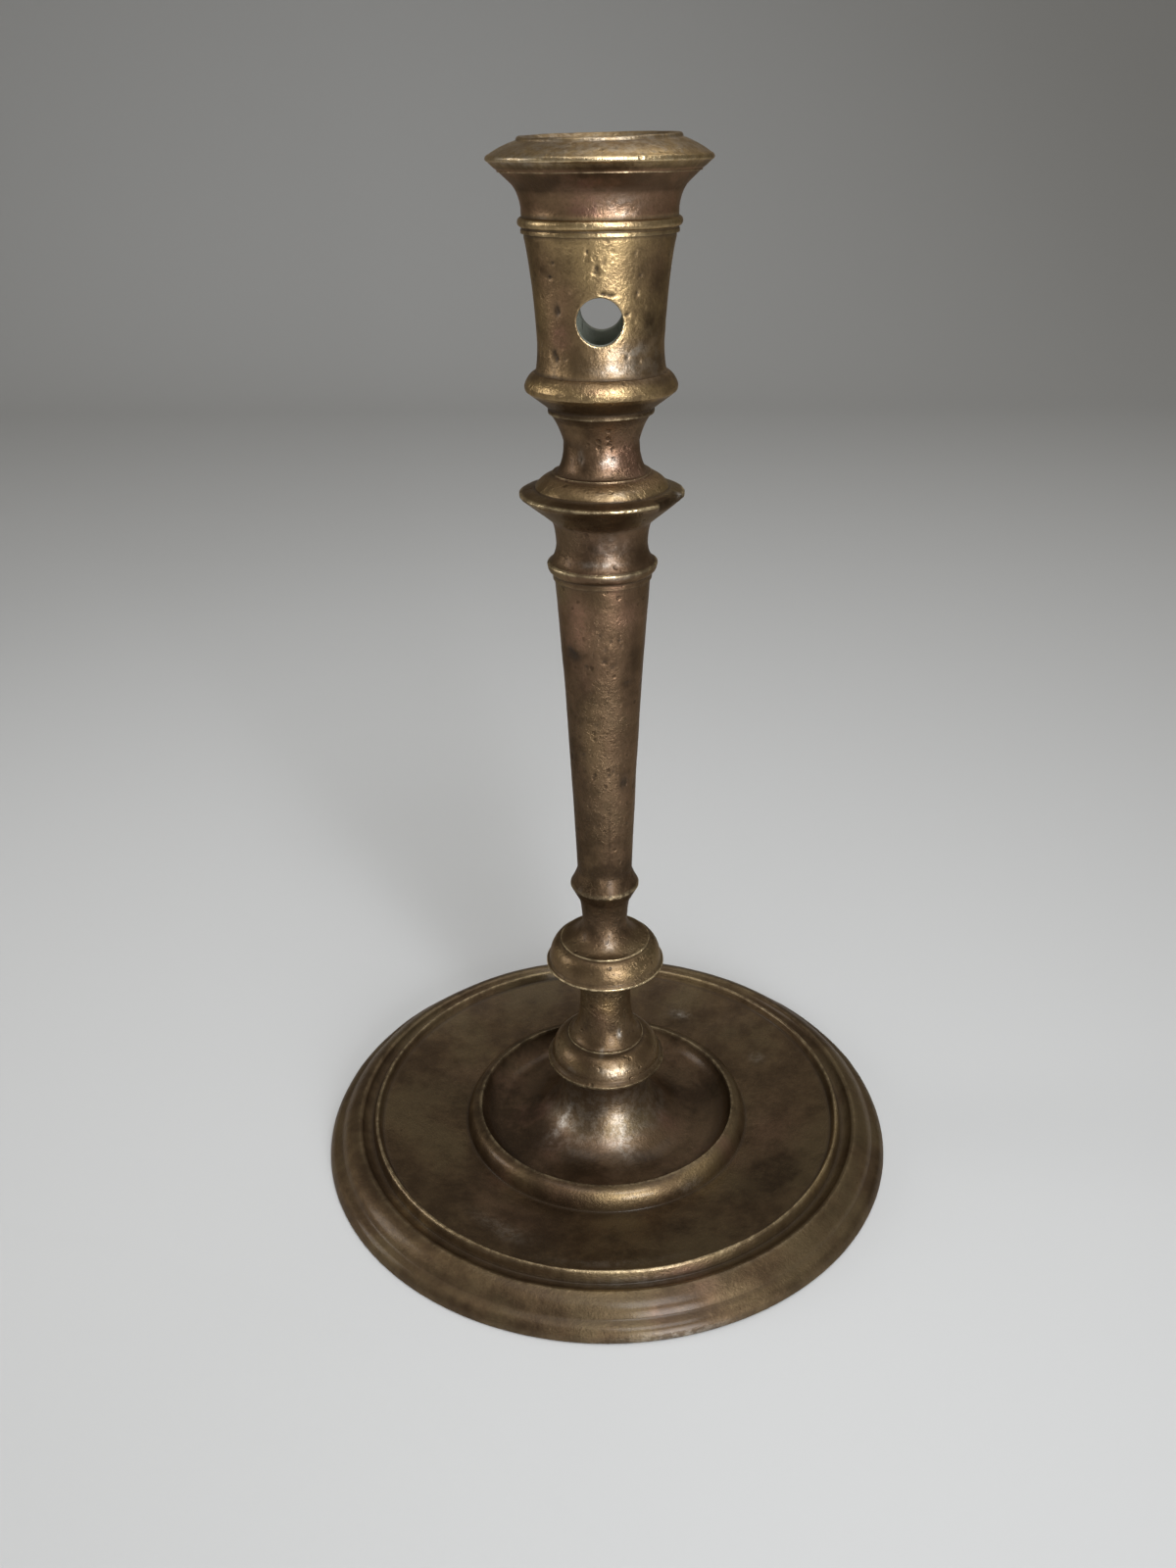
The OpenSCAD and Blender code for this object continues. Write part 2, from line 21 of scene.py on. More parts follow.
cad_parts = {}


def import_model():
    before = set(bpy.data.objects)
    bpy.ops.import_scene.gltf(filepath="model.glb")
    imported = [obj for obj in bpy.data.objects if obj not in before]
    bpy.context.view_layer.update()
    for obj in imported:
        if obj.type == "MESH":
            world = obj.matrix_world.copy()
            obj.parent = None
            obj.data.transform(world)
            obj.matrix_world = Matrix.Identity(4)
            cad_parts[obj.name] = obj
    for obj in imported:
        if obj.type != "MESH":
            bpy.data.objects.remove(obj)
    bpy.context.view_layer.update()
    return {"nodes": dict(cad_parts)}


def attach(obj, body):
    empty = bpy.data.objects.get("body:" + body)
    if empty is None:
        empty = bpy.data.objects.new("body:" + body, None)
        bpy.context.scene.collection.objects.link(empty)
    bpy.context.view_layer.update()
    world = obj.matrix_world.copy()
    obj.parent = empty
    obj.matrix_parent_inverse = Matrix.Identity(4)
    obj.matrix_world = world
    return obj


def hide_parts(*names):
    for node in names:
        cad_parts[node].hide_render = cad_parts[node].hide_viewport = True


LOG = logging.getLogger("candlestick")
BODY = "root"
MM = 0.001
TURN = 2.0 * math.pi
MARK_FALL = 1.1
MARK_SEARCH = 2.2

Point = tuple[float, float]
Rgb = tuple[float, float, float]


class Fullness(float, Enum):
    """How full a moulding's curve is: 0 is straight and 1 is a quarter ellipse."""

    FULL = 1.0
    ROUND = 0.8
    SOFT = 0.55
    BODY = 0.45
    SLIGHT = 0.35
    SHAFT = 0.25
    FLAT = 0.2


class Tone(str, Enum):
    """What a painted or measured mark on the metal stands for. The value is the name of its attribute."""

    WEAR = "wear"
    # Dirt and painted shade, measured in the outline's hollow bends.
    GRIME_AND_SHADE = "grime_and_shade"
    PIT = "pit"
    GOLD = "gold"
    COPPER = "copper"
    # Dark stains, and painted shade under mouldings, in recesses and on sides turned from the light.
    DARK = "dark"
    # Pale patches, and painted highlights and glints.
    PALE_AND_HIGHLIGHT = "pale"
    INNER = "inner"


class Outline:
    """A half section that grows station by station, radius first and height second, in millimetres."""

    def __init__(self, radius: float, height: float, piece: float) -> None:
        """Starts the section.

        Args:
            radius: Radius of its first station.
            height: Height of its first station.
            piece: Length of the straight pieces that a curve is made of.
        """
        self.points: list[Point] = [(radius, height)]
        self.piece = piece

    @property
    def height(self) -> float:
        """The height reached so far."""
        return self.points[-1][1]

    def to(self, radius: float, height: float) -> None:
        """Runs straight to a radius and an absolute height."""
        self.points.append((radius, height))

    def slope(self, radius: float, rise: float) -> None:
        """Runs straight to a radius, and up by a rise."""
        self.to(radius, self.height + rise)

    def flat(self, radius: float) -> None:
        """Runs level to a radius."""
        self.slope(radius, 0.0)

    def up(self, rise: float) -> None:
        """Runs upright by a rise."""
        self.slope(self.points[-1][0], rise)

    def across_up(self, radius: float, rise: float, share: float, steps: int = 10) -> None:
        """Curves to a station, leaving level and arriving upright.

        Args:
            radius: Radius of the new station.
            rise: Height of the new station above the last one.
            share: Fullness of the curve.
            steps: Most straight pieces; a short curve has fewer.
        """
        self._curve(radius, rise, share, steps, math.sin, lambda t: 1.0 - math.cos(t))

    def up_across(self, radius: float, rise: float, share: float, steps: int = 10) -> None:
        """Curves to a station, leaving upright and arriving level, with the arguments of across_up."""
        self._curve(radius, rise, share, steps, lambda t: 1.0 - math.cos(t), math.sin)

    def _curve(
        self,
        radius: float,
        rise: float,
        share: float,
        steps: int,
        across: Callable[[float], float],
        upright: Callable[[float], float],
    ) -> None:
        """Adds the stations of one curve, given the two laws by which radius and height move."""
        start_r, start_z = self.points[-1]
        steps = max(4, min(steps, round(math.hypot(radius - start_r, rise) / self.piece)))
        for step in range(1, steps + 1):
            line = step / steps
            angle = line * math.pi / 2
            r_part = share * across(angle) + (1 - share) * line
            z_part = share * upright(angle) + (1 - share) * line
            self.to(start_r + (radius - start_r) * r_part, start_z + rise * z_part)


class Along(Enum):
    """Which measure places a mark along the outline: the height on an upright body, the radius on a dished one."""

    HEIGHT = 1
    RADIUS = 0


@dataclass(frozen=True)
class Mark:
    """A worn, stained or broken place on the metal, or a patch of painted highlight or painted shade, about as wide as
    twice across and as long as twice along.

    Azimuth is in degrees from the front towards the right. The station is a height or a radius, as the body says.
    """

    azimuth: float
    station: float
    across: float
    along: float
    strength: float = 1.0

    @property
    def reach(self) -> float:
        """The greater of its two half sizes."""
        return max(self.across, self.along)

    def share(self, co: Vector, middle: Point) -> float:
        """How strongly the mark shows at a point.

        Args:
            co: The point, in millimetres.
            middle: Radius and height of the mark's middle.

        Returns:
            A share from 0 to the mark's strength.
        """
        turn = azimuth_of(co) - math.radians(self.azimuth)
        turn = (turn + math.pi) % TURN - math.pi
        u = turn * middle[0] / self.across
        v = math.hypot(radius_of(co) - middle[0], co.z - middle[1]) / self.along
        return self.strength * math.exp(-MARK_FALL * (u * u + v * v))


@dataclass(frozen=True)
class Band:
    """A tone all round the body, between two stations that it fades out at."""

    low: float
    high: float
    strength: float
    fade: float = 1.2

    def share(self, station: float) -> float:
        """How strongly the band shows at a station."""
        rise = ease(station, self.low - self.fade, self.low)
        return self.strength * rise * (1 - ease(station, self.high, self.high + self.fade))


class Turned:
    """A body turned about Z from a half section, kept as a bmesh in millimetres."""

    corner_angle = math.radians(22)
    corner_cut = 0.22
    wear_reach = 0.5
    least_wear = 0.08
    # How far along the outline a hollow bend is measured for dirt and painted shade.
    hollow_reach = 0.9
    bend_from, bend_to = math.radians(6), math.radians(60)
    doublings = 5
    weld = 1e-4
    refine_reach, refine_edge = 1.4, 0.35
    pit_ragged, pit_grain, pit_dark = 0.5, 2.1, 1.2

    def __init__(
        self,
        outline: Outline,
        along: Along,
        segments: int,
        spacing: Callable[[Vector, Vector], float],
        closed: bool,
        worn: Sequence[Band],
    ) -> None:
        """Turns the outline.

        Args:
            outline: The half section, with the metal on its left.
            along: The measure that places marks on this body.
            segments: Number of steps round the axis.
            spacing: Longest piece of the outline allowed between two stations.
            closed: Whether the section is a ring that stays off the axis.
            worn: How much each edge is worn, beyond the least wear.
        """
        self.outline = outline
        self.along = along
        self.bm = bmesh.new()
        self.layers = {tone: self.bm.verts.layers.float.new(tone.value) for tone in Tone}
        self._section(outline, closed)
        self._round_corners()
        self._divide(spacing)
        self._measure_edges(closed, worn)
        self._turn(segments)

    def _turn(self, segments: int) -> None:
        """Spins the section through a wedge, doubles the wedge until it goes all round, and joins the seams."""
        angle = TURN / 2**self.doublings
        bmesh.ops.spin(
            self.bm,
            geom=self.bm.verts[:] + self.bm.edges[:],
            cent=(0, 0, 0),
            axis=(0, 0, 1),
            angle=angle,
            steps=segments // 2**self.doublings,
            use_merge=False,
        )
        for _ in range(self.doublings):
            made = bmesh.ops.duplicate(self.bm, geom=self.bm.verts[:] + self.bm.edges[:] + self.bm.faces[:])
            verts = [g for g in made["geom"] if isinstance(g, bmesh.types.BMVert)]
            bmesh.ops.rotate(self.bm, verts=verts, cent=(0, 0, 0), matrix=Matrix.Rotation(angle, 3, "Z"))
            angle *= 2
        bmesh.ops.remove_doubles(self.bm, verts=self.bm.verts[:], dist=self.weld)
        bmesh.ops.recalc_face_normals(self.bm, faces=self.bm.faces[:])

    def _section(self, outline: Outline, closed: bool) -> None:
        """Draws the outline as a chain of edges in the XZ plane."""
        chain = [self.bm.verts.new((r, 0.0, z)) for r, z in outline.points]
        ends = chain[1:] + chain[:1] if closed else chain[1:]
        for one, two in zip(chain, ends):
            self.bm.edges.new((one, two))

    def _round_corners(self) -> None:
        """Rounds each sharp corner of the section, as wear has done on the real one."""
        corners = []
        for vert in self.bm.verts:
            if len(vert.link_edges) != 2:
                continue
            one, two = (edge.other_vert(vert).co - vert.co for edge in vert.link_edges)
            if math.pi - one.angle(two) > self.corner_angle:
                corners.append(vert)
        bmesh.ops.bevel(
            self.bm,
            geom=corners,
            offset=self.corner_cut,
            offset_type="OFFSET",
            segments=3,
            profile=0.5,
            affect="VERTICES",
            clamp_overlap=True,
            material=-1,
        )

    def _divide(self, spacing: Callable[[Vector, Vector], float]) -> None:
        """Divides the section's long pieces evenly."""
        groups: dict[int, list[bmesh.types.BMEdge]] = {}
        for edge in self.bm.edges:
            one, two = (vert.co for vert in edge.verts)
            cuts = math.ceil((two - one).length / spacing(one, two)) - 1
            if cuts > 0:
                groups.setdefault(cuts, []).append(edge)
        for cuts, edges in groups.items():
            bmesh.ops.subdivide_edges(self.bm, edges=edges, cuts=cuts)

    def _walk(self, closed: bool) -> list[bmesh.types.BMVert]:
        """The section's vertices in order, with the metal on the left."""
        self.bm.verts.ensure_lookup_table()
        start = self.bm.verts[0]
        if not closed:
            start = min((v for v in self.bm.verts if len(v.link_edges) == 1), key=lambda v: v.co.z)
        chain = [start]
        ways = [edge.other_vert(start) for edge in start.link_edges]
        here = ways[0] if not closed else min(ways, key=lambda v: -v.co.x)
        while here is not None and here is not start:
            chain.append(here)
            ways = [e.other_vert(here) for e in here.link_edges if e.other_vert(here) is not chain[-2]]
            here = ways[0] if ways else None
        return chain

    def _measure_edges(self, closed: bool, worn: Sequence[Band]) -> None:
        """Writes wear on the outline's convex bends, and dirt with painted shade in its hollow ones."""
        chain = self._walk(closed)
        count = len(chain)
        flat = [Vector((v.co.x, v.co.z)) for v in chain]
        area = sum(a.x * b.y - b.x * a.y for a, b in zip(flat, flat[1:] + flat[:1]))
        sign = 1.0 if area > 0 else -1.0

        def reach(index: int, step: int, length: float) -> Vector:
            """The direction from one station to the place a length further along the chain."""
            at, left = index, length
            while left > 0:
                nxt = at + step
                if closed:
                    nxt %= count
                elif not 0 <= nxt < count:
                    break
                piece = flat[nxt] - flat[at]
                if piece.length >= left:
                    return flat[at] + piece * (left / max(piece.length, 1e-9)) - flat[index]
                left -= piece.length
                at = nxt
            return flat[at] - flat[index]

        for index, vert in enumerate(chain):
            for tone, length, way in (
                (Tone.WEAR, self.wear_reach, sign),
                (Tone.GRIME_AND_SHADE, self.hollow_reach, -sign),
            ):
                after, before = reach(index, 1, length), -reach(index, -1, length)
                if min(after.length, before.length) < 1e-6:
                    continue
                bend = way * math.atan2(
                    before.x * after.y - before.y * after.x, before.x * after.x + before.y * after.y
                )
                share = ease(bend, self.bend_from, self.bend_to)
                if tone is Tone.WEAR:
                    station = self._station(vert.co)
                    share *= min(1.0, self.least_wear + sum(band.share(station) for band in worn))
                vert[self.layers[tone]] = share

    def _station(self, co: Vector) -> float:
        """The height or the radius of a place, as this body measures."""
        return co.z if self.along is Along.HEIGHT else radius_of(co)

    def skin(self, station: float) -> Point:
        """Radius and height of the outermost or highest place of the outline at a station."""
        key = self.along.value
        best = (0.0, 0.0)
        for one, two in zip(self.outline.points, self.outline.points[1:]):
            low, high = sorted((one[key], two[key]))
            if low <= station <= high and high > low:
                share = (station - one[key]) / (two[key] - one[key])
                found = (one[0] + (two[0] - one[0]) * share, one[1] + (two[1] - one[1]) * share)
                best = max(best, found, key=lambda point: point[1 - key])
        return best

    def index(self) -> None:
        """Sorts the vertices into a tree by their places."""
        self.bm.verts.ensure_lookup_table()
        self.tree = KDTree(len(self.bm.verts))
        for number, vert in enumerate(self.bm.verts):
            self.tree.insert(vert.co, number)
        self.tree.balance()

    def _shares(self, mark: Mark) -> Iterable[tuple[bmesh.types.BMVert, float]]:
        """Each vertex near a mark, with the mark's share there."""
        middle = self.skin(mark.station)
        for _, index, _ in self.tree.find_range(spot(mark.azimuth, middle), MARK_SEARCH * mark.reach):
            vert = self.bm.verts[index]
            yield vert, mark.share(vert.co, middle)

    def paint(self, tone: Tone, marks: Iterable[Mark]) -> None:
        """Adds marks to one tone's attribute."""
        layer = self.layers[tone]
        for mark in marks:
            for vert, share in self._shares(mark):
                vert[layer] = min(1.0, vert[layer] + share)

    def ring(self, tone: Tone, bands: Sequence[Band]) -> None:
        """Adds bands to one tone's attribute, on the outer skin."""
        layer = self.layers[tone]
        inner = self.layers[Tone.INNER]
        for vert in self.bm.verts:
            station = self._station(vert.co)
            share = sum(band.share(station) for band in bands)
            if share and not vert[inner]:
                vert[layer] = min(1.0, vert[layer] + share)

    def refine(self, marks: Sequence[Mark]) -> None:
        """Divides the faces near the marks, so that a small pit has its own shape."""
        tree = KDTree(len(self.bm.faces))
        self.bm.faces.ensure_lookup_table()
        for number, face in enumerate(self.bm.faces):
            tree.insert(face.calc_center_median(), number)
        tree.balance()
        near: set[int] = set()
        for mark in marks:
            middle = spot(mark.azimuth, self.skin(mark.station))
            clear = self.refine_reach * mark.reach + self.refine_edge
            near.update(index for _, index, _ in tree.find_range(middle, clear))
        edges = list(dict.fromkeys(edge for index in sorted(near) for edge in self.bm.faces[index].edges))
        bmesh.ops.subdivide_edges(self.bm, edges=edges, cuts=1, use_grid_fill=True)
        bmesh.ops.triangulate(self.bm, faces=[face for face in self.bm.faces if len(face.verts) > 4])

    def sink(self, marks: Sequence[Mark], depth: float) -> None:
        """Sinks a small pit at each mark, and darkens it.

        Args:
            marks: The pits.
            depth: Depth of a pit of strength 1, in millimetres.
        """
        self.bm.normal_update()
        layer = self.layers[Tone.PIT]
        moves: dict[bmesh.types.BMVert, Vector] = {}
        for mark in marks:
            for vert, share in self._shares(mark):
                share = min(1.0, share * (1 + self.pit_ragged * noise.noise(vert.co * self.pit_grain)))
                moves[vert] = moves.get(vert, Vector()) - vert.normal * depth * share
                vert[layer] = max(vert[layer], min(1.0, self.pit_dark * share))
        for vert, step in moves.items():
            vert.co += step

    def move(self, law: Callable[[Vector, Vector], Vector]) -> None:
        """Moves each vertex by what a law gives for its place and its normal."""
        self.bm.normal_update()
        moves = [law(vert.co, vert.normal) for vert in self.bm.verts]
        for vert, step in zip(self.bm.verts, moves):
            vert.co += step

    def finish(self, name: str) -> bpy.types.Object:
        """Makes the object, in metres, with smooth faces.

        Args:
            name: The object's name.

        Returns:
            The object, linked to the scene.
        """
        bmesh.ops.scale(self.bm, vec=(MM, MM, MM), verts=self.bm.verts[:])
        piece = add_mesh(name, self.bm)
        LOG.info("%s: %d vertices, %d faces", name, len(piece.data.vertices), len(piece.data.polygons))
        return piece


def ease(value: float, low: float, high: float) -> float:
    """A smooth step from 0 at low to 1 at high."""
    share = min(1.0, max(0.0, (value - low) / (high - low)))
    return share * share * (3 - 2 * share)


def radius_of(co: Vector) -> float:
    """Distance from the axis."""
    return math.hypot(co.x, co.y)


def azimuth_of(co: Vector) -> float:
    """Angle from the front towards the right, in radians."""
    return math.atan2(co.x, -co.y)


def add_object(name: str, data: bpy.types.ID) -> bpy.types.Object:
    """Makes an object of its data and links it to the scene."""
    made = bpy.data.objects.new(name, data)
    bpy.context.scene.collection.objects.link(made)
    return made


def add_mesh(name: str, bm: bmesh.types.BMesh) -> bpy.types.Object:
    """Makes a smooth object of a bmesh, which is freed."""
    for face in bm.faces:
        face.smooth = True
    mesh = bpy.data.meshes.new(name)
    bm.to_mesh(mesh)
    bm.free()
    return add_object(name, mesh)


def spot(azimuth: float, middle: Point) -> Vector:
    """The point at an azimuth in degrees, and at a radius and a height."""
    angle = math.radians(azimuth)
    return Vector((middle[0] * math.sin(angle), -middle[0] * math.cos(angle), middle[1]))


@dataclass
class Foot:
    """The cast foot: skirt, lip, drip pan, inner ring, well and bell, hollow underneath."""

    waist_r: float = 12.0
    waist_z: float = 19.0
    bell_r: float = 15.7
    seat_z: float = 25.2
    bell_edge_h: float = 0.8
    crown_t: float = 4.6
    bell_wall: float = 2.8
    well_floor_z: float = 3.9
    flare_r: float = 26.0
    well_in_r: float = 31.0
    well_r: float = 36.2
    well_z: float = 9.65
    ring_top_w: float = 1.7
    ring_top_fall: float = 0.45
    ring_side_w: float = 2.5
    pan_w: float = 24.35
    pan_low_z: float = 3.9
    lip_root_w: float = 2.7
    lip_w: float = 1.1
    lip_z: float = 9.9
    lip_out_h: float = 3.3
    lip_in_h: float = 2.5
    lip_round: float = 0.35
    wall: float = 2.4
    cove_w: float = 3.05
    cove_flat_w: float = 0.8
    crown_w: float = 0.9
    shoulder_w: float = 5.0
    shoulder_h: float = 3.9
    band_groove_w: float = 0.6
    band_groove_h: float = 0.4
    band_w: float = 3.1
    band_h: float = 4.2
    stand_w: float = 3.6
    stand_round: float = 0.6
    groove_fall: float = 0.3
    ring_roof: float = 3.4
    ring_core_w: float = 1.2
    hole_r: float = 6.15
    segments: int = 352
    fine_step: float = 1.05
    pan_step: float = 1.6
    hidden_step: float = 4.0
    pan_margin: float = 2.0
    broad_size: float = 19.0
    broad_dent: float = 0.16
    small_size: float = 5.5
    small_dent: float = 0.05
    crest_sway: float = 0.22
    crest_dip: float = 0.12
    crest_nick: float = 0.10

    @property
    def ring_foot_r(self) -> float:
        """Radius where the inner ring meets the pan."""
        return self.well_r + self.ring_top_w + self.ring_side_w

    @property
    def lip_in_r(self) -> float:
        """Radius of the lip's root on the pan's side."""
        return self.ring_foot_r + self.pan_w

    @property
    def lip_out_r(self) -> float:
        """Radius of the lip's root on the skirt's side."""
        return self.lip_in_r + self.lip_root_w

    @property
    def lip_r(self) -> float:
        """Radius of the lip's crest."""
        return self.lip_in_r + self.lip_root_w / 2

    @property
    def shoulder_r(self) -> float:
        """Radius of the skirt's shoulder."""
        return self.lip_out_r + self.cove_w + self.crown_w

    @property
    def shoulder_z(self) -> float:
        """Height of the skirt's shoulder."""
        return self.band_h + self.band_groove_h + self.shoulder_h

    @property
    def foot_r(self) -> float:
        """Radius of the foot where it stands."""
        return self.shoulder_r + self.shoulder_w + self.band_groove_w + self.band_w

    def outline(self) -> Outline:
        """The whole section, from the ground over the top and back underneath."""
        line = Outline(self.foot_r - self.stand_round, 0.0, 0.95)
        line.to(self.foot_r, self.stand_round)
        line.up_across(self.foot_r - self.band_w, self.band_h - self.stand_round, Fullness.ROUND)
        line.slope(self.shoulder_r + self.shoulder_w, self.band_groove_h)
        line.up_across(self.shoulder_r, self.shoulder_h, Fullness.SOFT)
        line.slope(self.shoulder_r - self.crown_w, -self.groove_fall)
        cove_z = self.lip_z - self.lip_out_h
        line.up_across(self.lip_out_r + self.cove_flat_w, cove_z - line.height, Fullness.SOFT)
        line.to(self.lip_out_r, cove_z)
        half, top = self.lip_w / 2, self.lip_z - self.lip_round
        line.to(self.lip_r + half, top)
        line.to(self.lip_r + half - self.lip_round, self.lip_z)
        line.to(self.lip_r - half + self.lip_round, self.lip_z)
        line.to(self.lip_r - half, top)
        line.to(self.lip_in_r, self.lip_z - self.lip_in_h)
        line.up_across(self.ring_foot_r, self.pan_low_z - line.height, Fullness.FLAT)
        line.up_across(self.well_r + self.ring_top_w, self.well_z - self.ring_top_fall - line.height, Fullness.ROUND)
        line.to(self.well_r, self.well_z)
        line.up_across(self.well_in_r, self.well_floor_z - self.well_z, Fullness.ROUND)
        line.flat(self.flare_r)
        line.across_up(self.waist_r, self.waist_z - self.well_floor_z, Fullness.FULL, 16)
        line.up_across(self.bell_r, self.seat_z - self.bell_edge_h - self.waist_z, Fullness.FULL)
        line.up(self.bell_edge_h)
        self._underside(line)
        return line

    def _underside(self, line: Outline) -> None:
        """Adds the hollow underside, from the spigot's hole outwards."""
        line.piece = 2.4
        line.flat(self.hole_r)
        line.up(-self.crown_t)
        line.flat(self.waist_r - self.bell_wall)
        line.to(self.waist_r - self.bell_wall, self.waist_z)
        well_under = self.well_floor_z - self.wall
        pan_under = self.pan_low_z - self.wall
        roof = self.well_z - self.ring_roof
        line.up_across(self.flare_r, well_under - self.waist_z, Fullness.FULL)
        line.flat(self.well_in_r + self.wall)
        line.up_across(self.well_r, roof - well_under, Fullness.SOFT, 5)
        line.flat(self.well_r + self.ring_core_w)
        line.across_up(self.ring_foot_r - self.wall, pan_under - roof, Fullness.SOFT, 5)
        lip_under = self.lip_z - self.lip_out_h - self.wall
        line.across_up(self.lip_in_r, lip_under - pan_under, Fullness.FLAT, 6)
        line.flat(self.lip_out_r)
        skirt_under = self.shoulder_z - self.wall - self.cove_flat_w
        line.across_up(self.shoulder_r, skirt_under - lip_under, Fullness.FLAT, 5)
        line.across_up(self.foot_r - self.stand_w, -skirt_under, Fullness.SOFT, 8)

    def _spacing(self, one: Vector, two: Vector) -> float:
        """Longest piece of the section: fine above, coarse underneath and on the pan's plain floor."""
        middle = (one + two) / 2
        if middle.x > self.foot_r - self.stand_w or middle.z > self._skin(middle.x):
            on_pan = self.ring_foot_r + self.pan_margin < middle.x < self.lip_in_r - self.pan_margin
            return self.pan_step if on_pan else self.fine_step
        return self.hidden_step

    def _skin(self, radius: float) -> float:
        """A height that parts the upper side from the underside at a radius."""
        if radius < self.flare_r:
            return 3.0 if radius > self.waist_r - self.bell_wall + 0.2 else 30.0
        return 3.0 if radius < self.lip_in_r - 8 else 5.4

    def _uneven(self, co: Vector, normal: Vector) -> Vector:
        """The slight unevenness of an old casting, none on the ring that it stands on."""
        radius = radius_of(co)
        loose = ease(co.z, 0.0, 2.5) * ease(radius, 16.0, 24.0)
        broad = noise.noise(co / self.broad_size) * self.broad_dent
        small = noise.noise(co / self.small_size + Vector((7, 3, 1))) * self.small_dent
        crest = ease(co.z, self.lip_z - 1.6, self.lip_z) * ease(radius, self.lip_r - 3, self.lip_r - 1)
        ring = Vector((co.x, co.y, 0)).normalized()
        sway = noise.noise(Vector((ring.x * 3.3, ring.y * 3.3, 4.2)))
        nick = noise.noise(Vector((ring.x * 21, ring.y * 21, 9.1)))
        lift = Vector((0, 0, -self.crest_dip * abs(sway) - self.crest_nick * max(0.0, nick))) * crest
        return normal * (broad + small) * loose + ring * (self.crest_sway * sway * crest) + lift

    def build(self) -> Turned:
        """Turns the foot and gives it its unevenness, its wear and its marks, painted highlights and shade among them.
        """
        turned = Turned(self.outline(), Along.RADIUS, self.segments, self._spacing, True, FOOT_WEAR)
        turned.move(self._uneven)
        turned.index()
        for tone, bands in FOOT_BANDS.items():
            turned.ring(tone, bands)
        for tone, marks in FOOT_MARKS.items():
            turned.paint(tone, marks)
        return turned


@dataclass
class StemBase:
    """Collar, bevel, ovolo, thin ring and flare at the bottom of the stem."""

    collar_r: float = 16.4
    collar_h: float = 0.6
    bevel_h: float = 1.1
    ovolo_r: float = 15.3
    ovolo_h: float = 5.9
    fillet_r: float = 10.6
    fillet_h: float = 0.6
    flare_h: float = 10.6
    neck_r: float = 7.0
    neck_h: float = 8.0

    def trace(self, line: Outline, ledge: float) -> None:
        """Adds these mouldings to the stem's section."""
        line.flat(self.collar_r)
        line.up(self.collar_h)
        line.across_up(self.ovolo_r, self.bevel_h, Fullness.SOFT)
        line.up_across(self.fillet_r + ledge, self.ovolo_h, Fullness.ROUND)
        line.flat(self.fillet_r)
        line.up(self.fillet_h)
        line.flat(self.fillet_r - ledge)
        line.across_up(self.neck_r, self.flare_h, Fullness.ROUND, 14)
        line.up(self.neck_h)


@dataclass
class LowerKnop:
    """The knop with its sharp lower edge, its step and the neck above it."""

    knop_r: float = 16.0
    under_h: float = 5.6
    edge_h: float = 0.5
    shelf_w: float = 0.8
    shelf_h: float = 0.8
    band_h: float = 5.5
    step_r: float = 12.1
    step_h: float = 0.6
    flare_h: float = 6.0
    neck_r: float = 6.05

    def trace(self, line: Outline, ledge: float) -> None:
        """Adds these mouldings to the stem's section."""
        line.up_across(self.knop_r - ledge, self.under_h, Fullness.ROUND)
        line.flat(self.knop_r)
        line.up(self.edge_h)
        line.across_up(self.knop_r - self.shelf_w, self.shelf_h, Fullness.SOFT)
        line.up_across(self.step_r + ledge, self.band_h, Fullness.ROUND)
        line.flat(self.step_r)
        line.up(self.step_h)
        line.flat(self.step_r - ledge)
        line.across_up(self.neck_r, self.flare_h, Fullness.ROUND)


@dataclass
class Shaft:
    """The lower ring, the tapered shaft, the upper ring and the neck above it."""

    low_r: float = 7.2
    low_ring_r: float = 9.1
    low_root_r: float = 7.4
    cove_h: float = 7.6
    under_h: float = 3.3
    edge_h: float = 0.5
    top_h: float = 4.4
    top_r: float = 11.45
    length: float = 80.0
    step_r: float = 11.85
    step_h: float = 1.4
    ring_r: float = 13.1
    ring_under_h: float = 1.9
    ring_edge_h: float = 0.5
    ring_top_h: float = 4.4
    neck_r: float = 10.85
    neck_h: float = 5.9
    root_r: float = 12.1

    def trace(self, line: Outline, ledge: float) -> None:
        """Adds these mouldings to the stem's section."""
        line.up_across(self.low_root_r, self.cove_h, Fullness.ROUND)
        line.slope(self.low_ring_r, self.under_h)
        line.up(self.edge_h)
        line.across_up(self.low_r, self.top_h, Fullness.FLAT)
        line.up_across(self.top_r, self.length, Fullness.SHAFT, 24)
        line.flat(self.step_r)
        line.up(self.step_h)
        line.across_up(self.ring_r, self.ring_under_h, Fullness.ROUND)
        line.up(self.ring_edge_h)
        line.across_up(self.neck_r, self.ring_top_h, Fullness.ROUND)
        line.up_across(self.root_r, self.neck_h, Fullness.ROUND)


@dataclass
class Flange:
    """The broad flange and the neck between it and the socket."""

    flange_r: float = 19.2
    under_h: float = 3.9
    bevel_w: float = 2.4
    bevel_h: float = 1.9
    edge_h: float = 0.6
    brim_w: float = 3.7
    brim_h: float = 1.0
    step_h: float = 0.4
    dome_h: float = 2.9
    step_r: float = 11.5
    neck_low_h: float = 7.0
    neck_r: float = 8.7
    neck_top_h: float = 6.4
    top_step_r: float = 12.1
    top_step_h: float = 1.2

    def trace(self, line: Outline, ledge: float) -> None:
        """Adds these mouldings to the stem's section."""
        line.slope(self.flange_r - self.bevel_w, self.under_h)
        line.slope(self.flange_r, self.bevel_h)
        line.up(self.edge_h)
        line.up_across(self.flange_r - self.brim_w, self.brim_h, Fullness.FLAT)
        line.up(self.step_h)
        line.up_across(self.step_r, self.dome_h, Fullness.BODY)
        line.up(self.step_h)
        line.flat(self.step_r - ledge)
        line.across_up(self.neck_r, self.neck_low_h, Fullness.FULL)
        line.up_across(self.top_step_r - ledge, self.neck_top_h, Fullness.SLIGHT)
        line.flat(self.top_step_r)
        line.up(self.top_step_h)


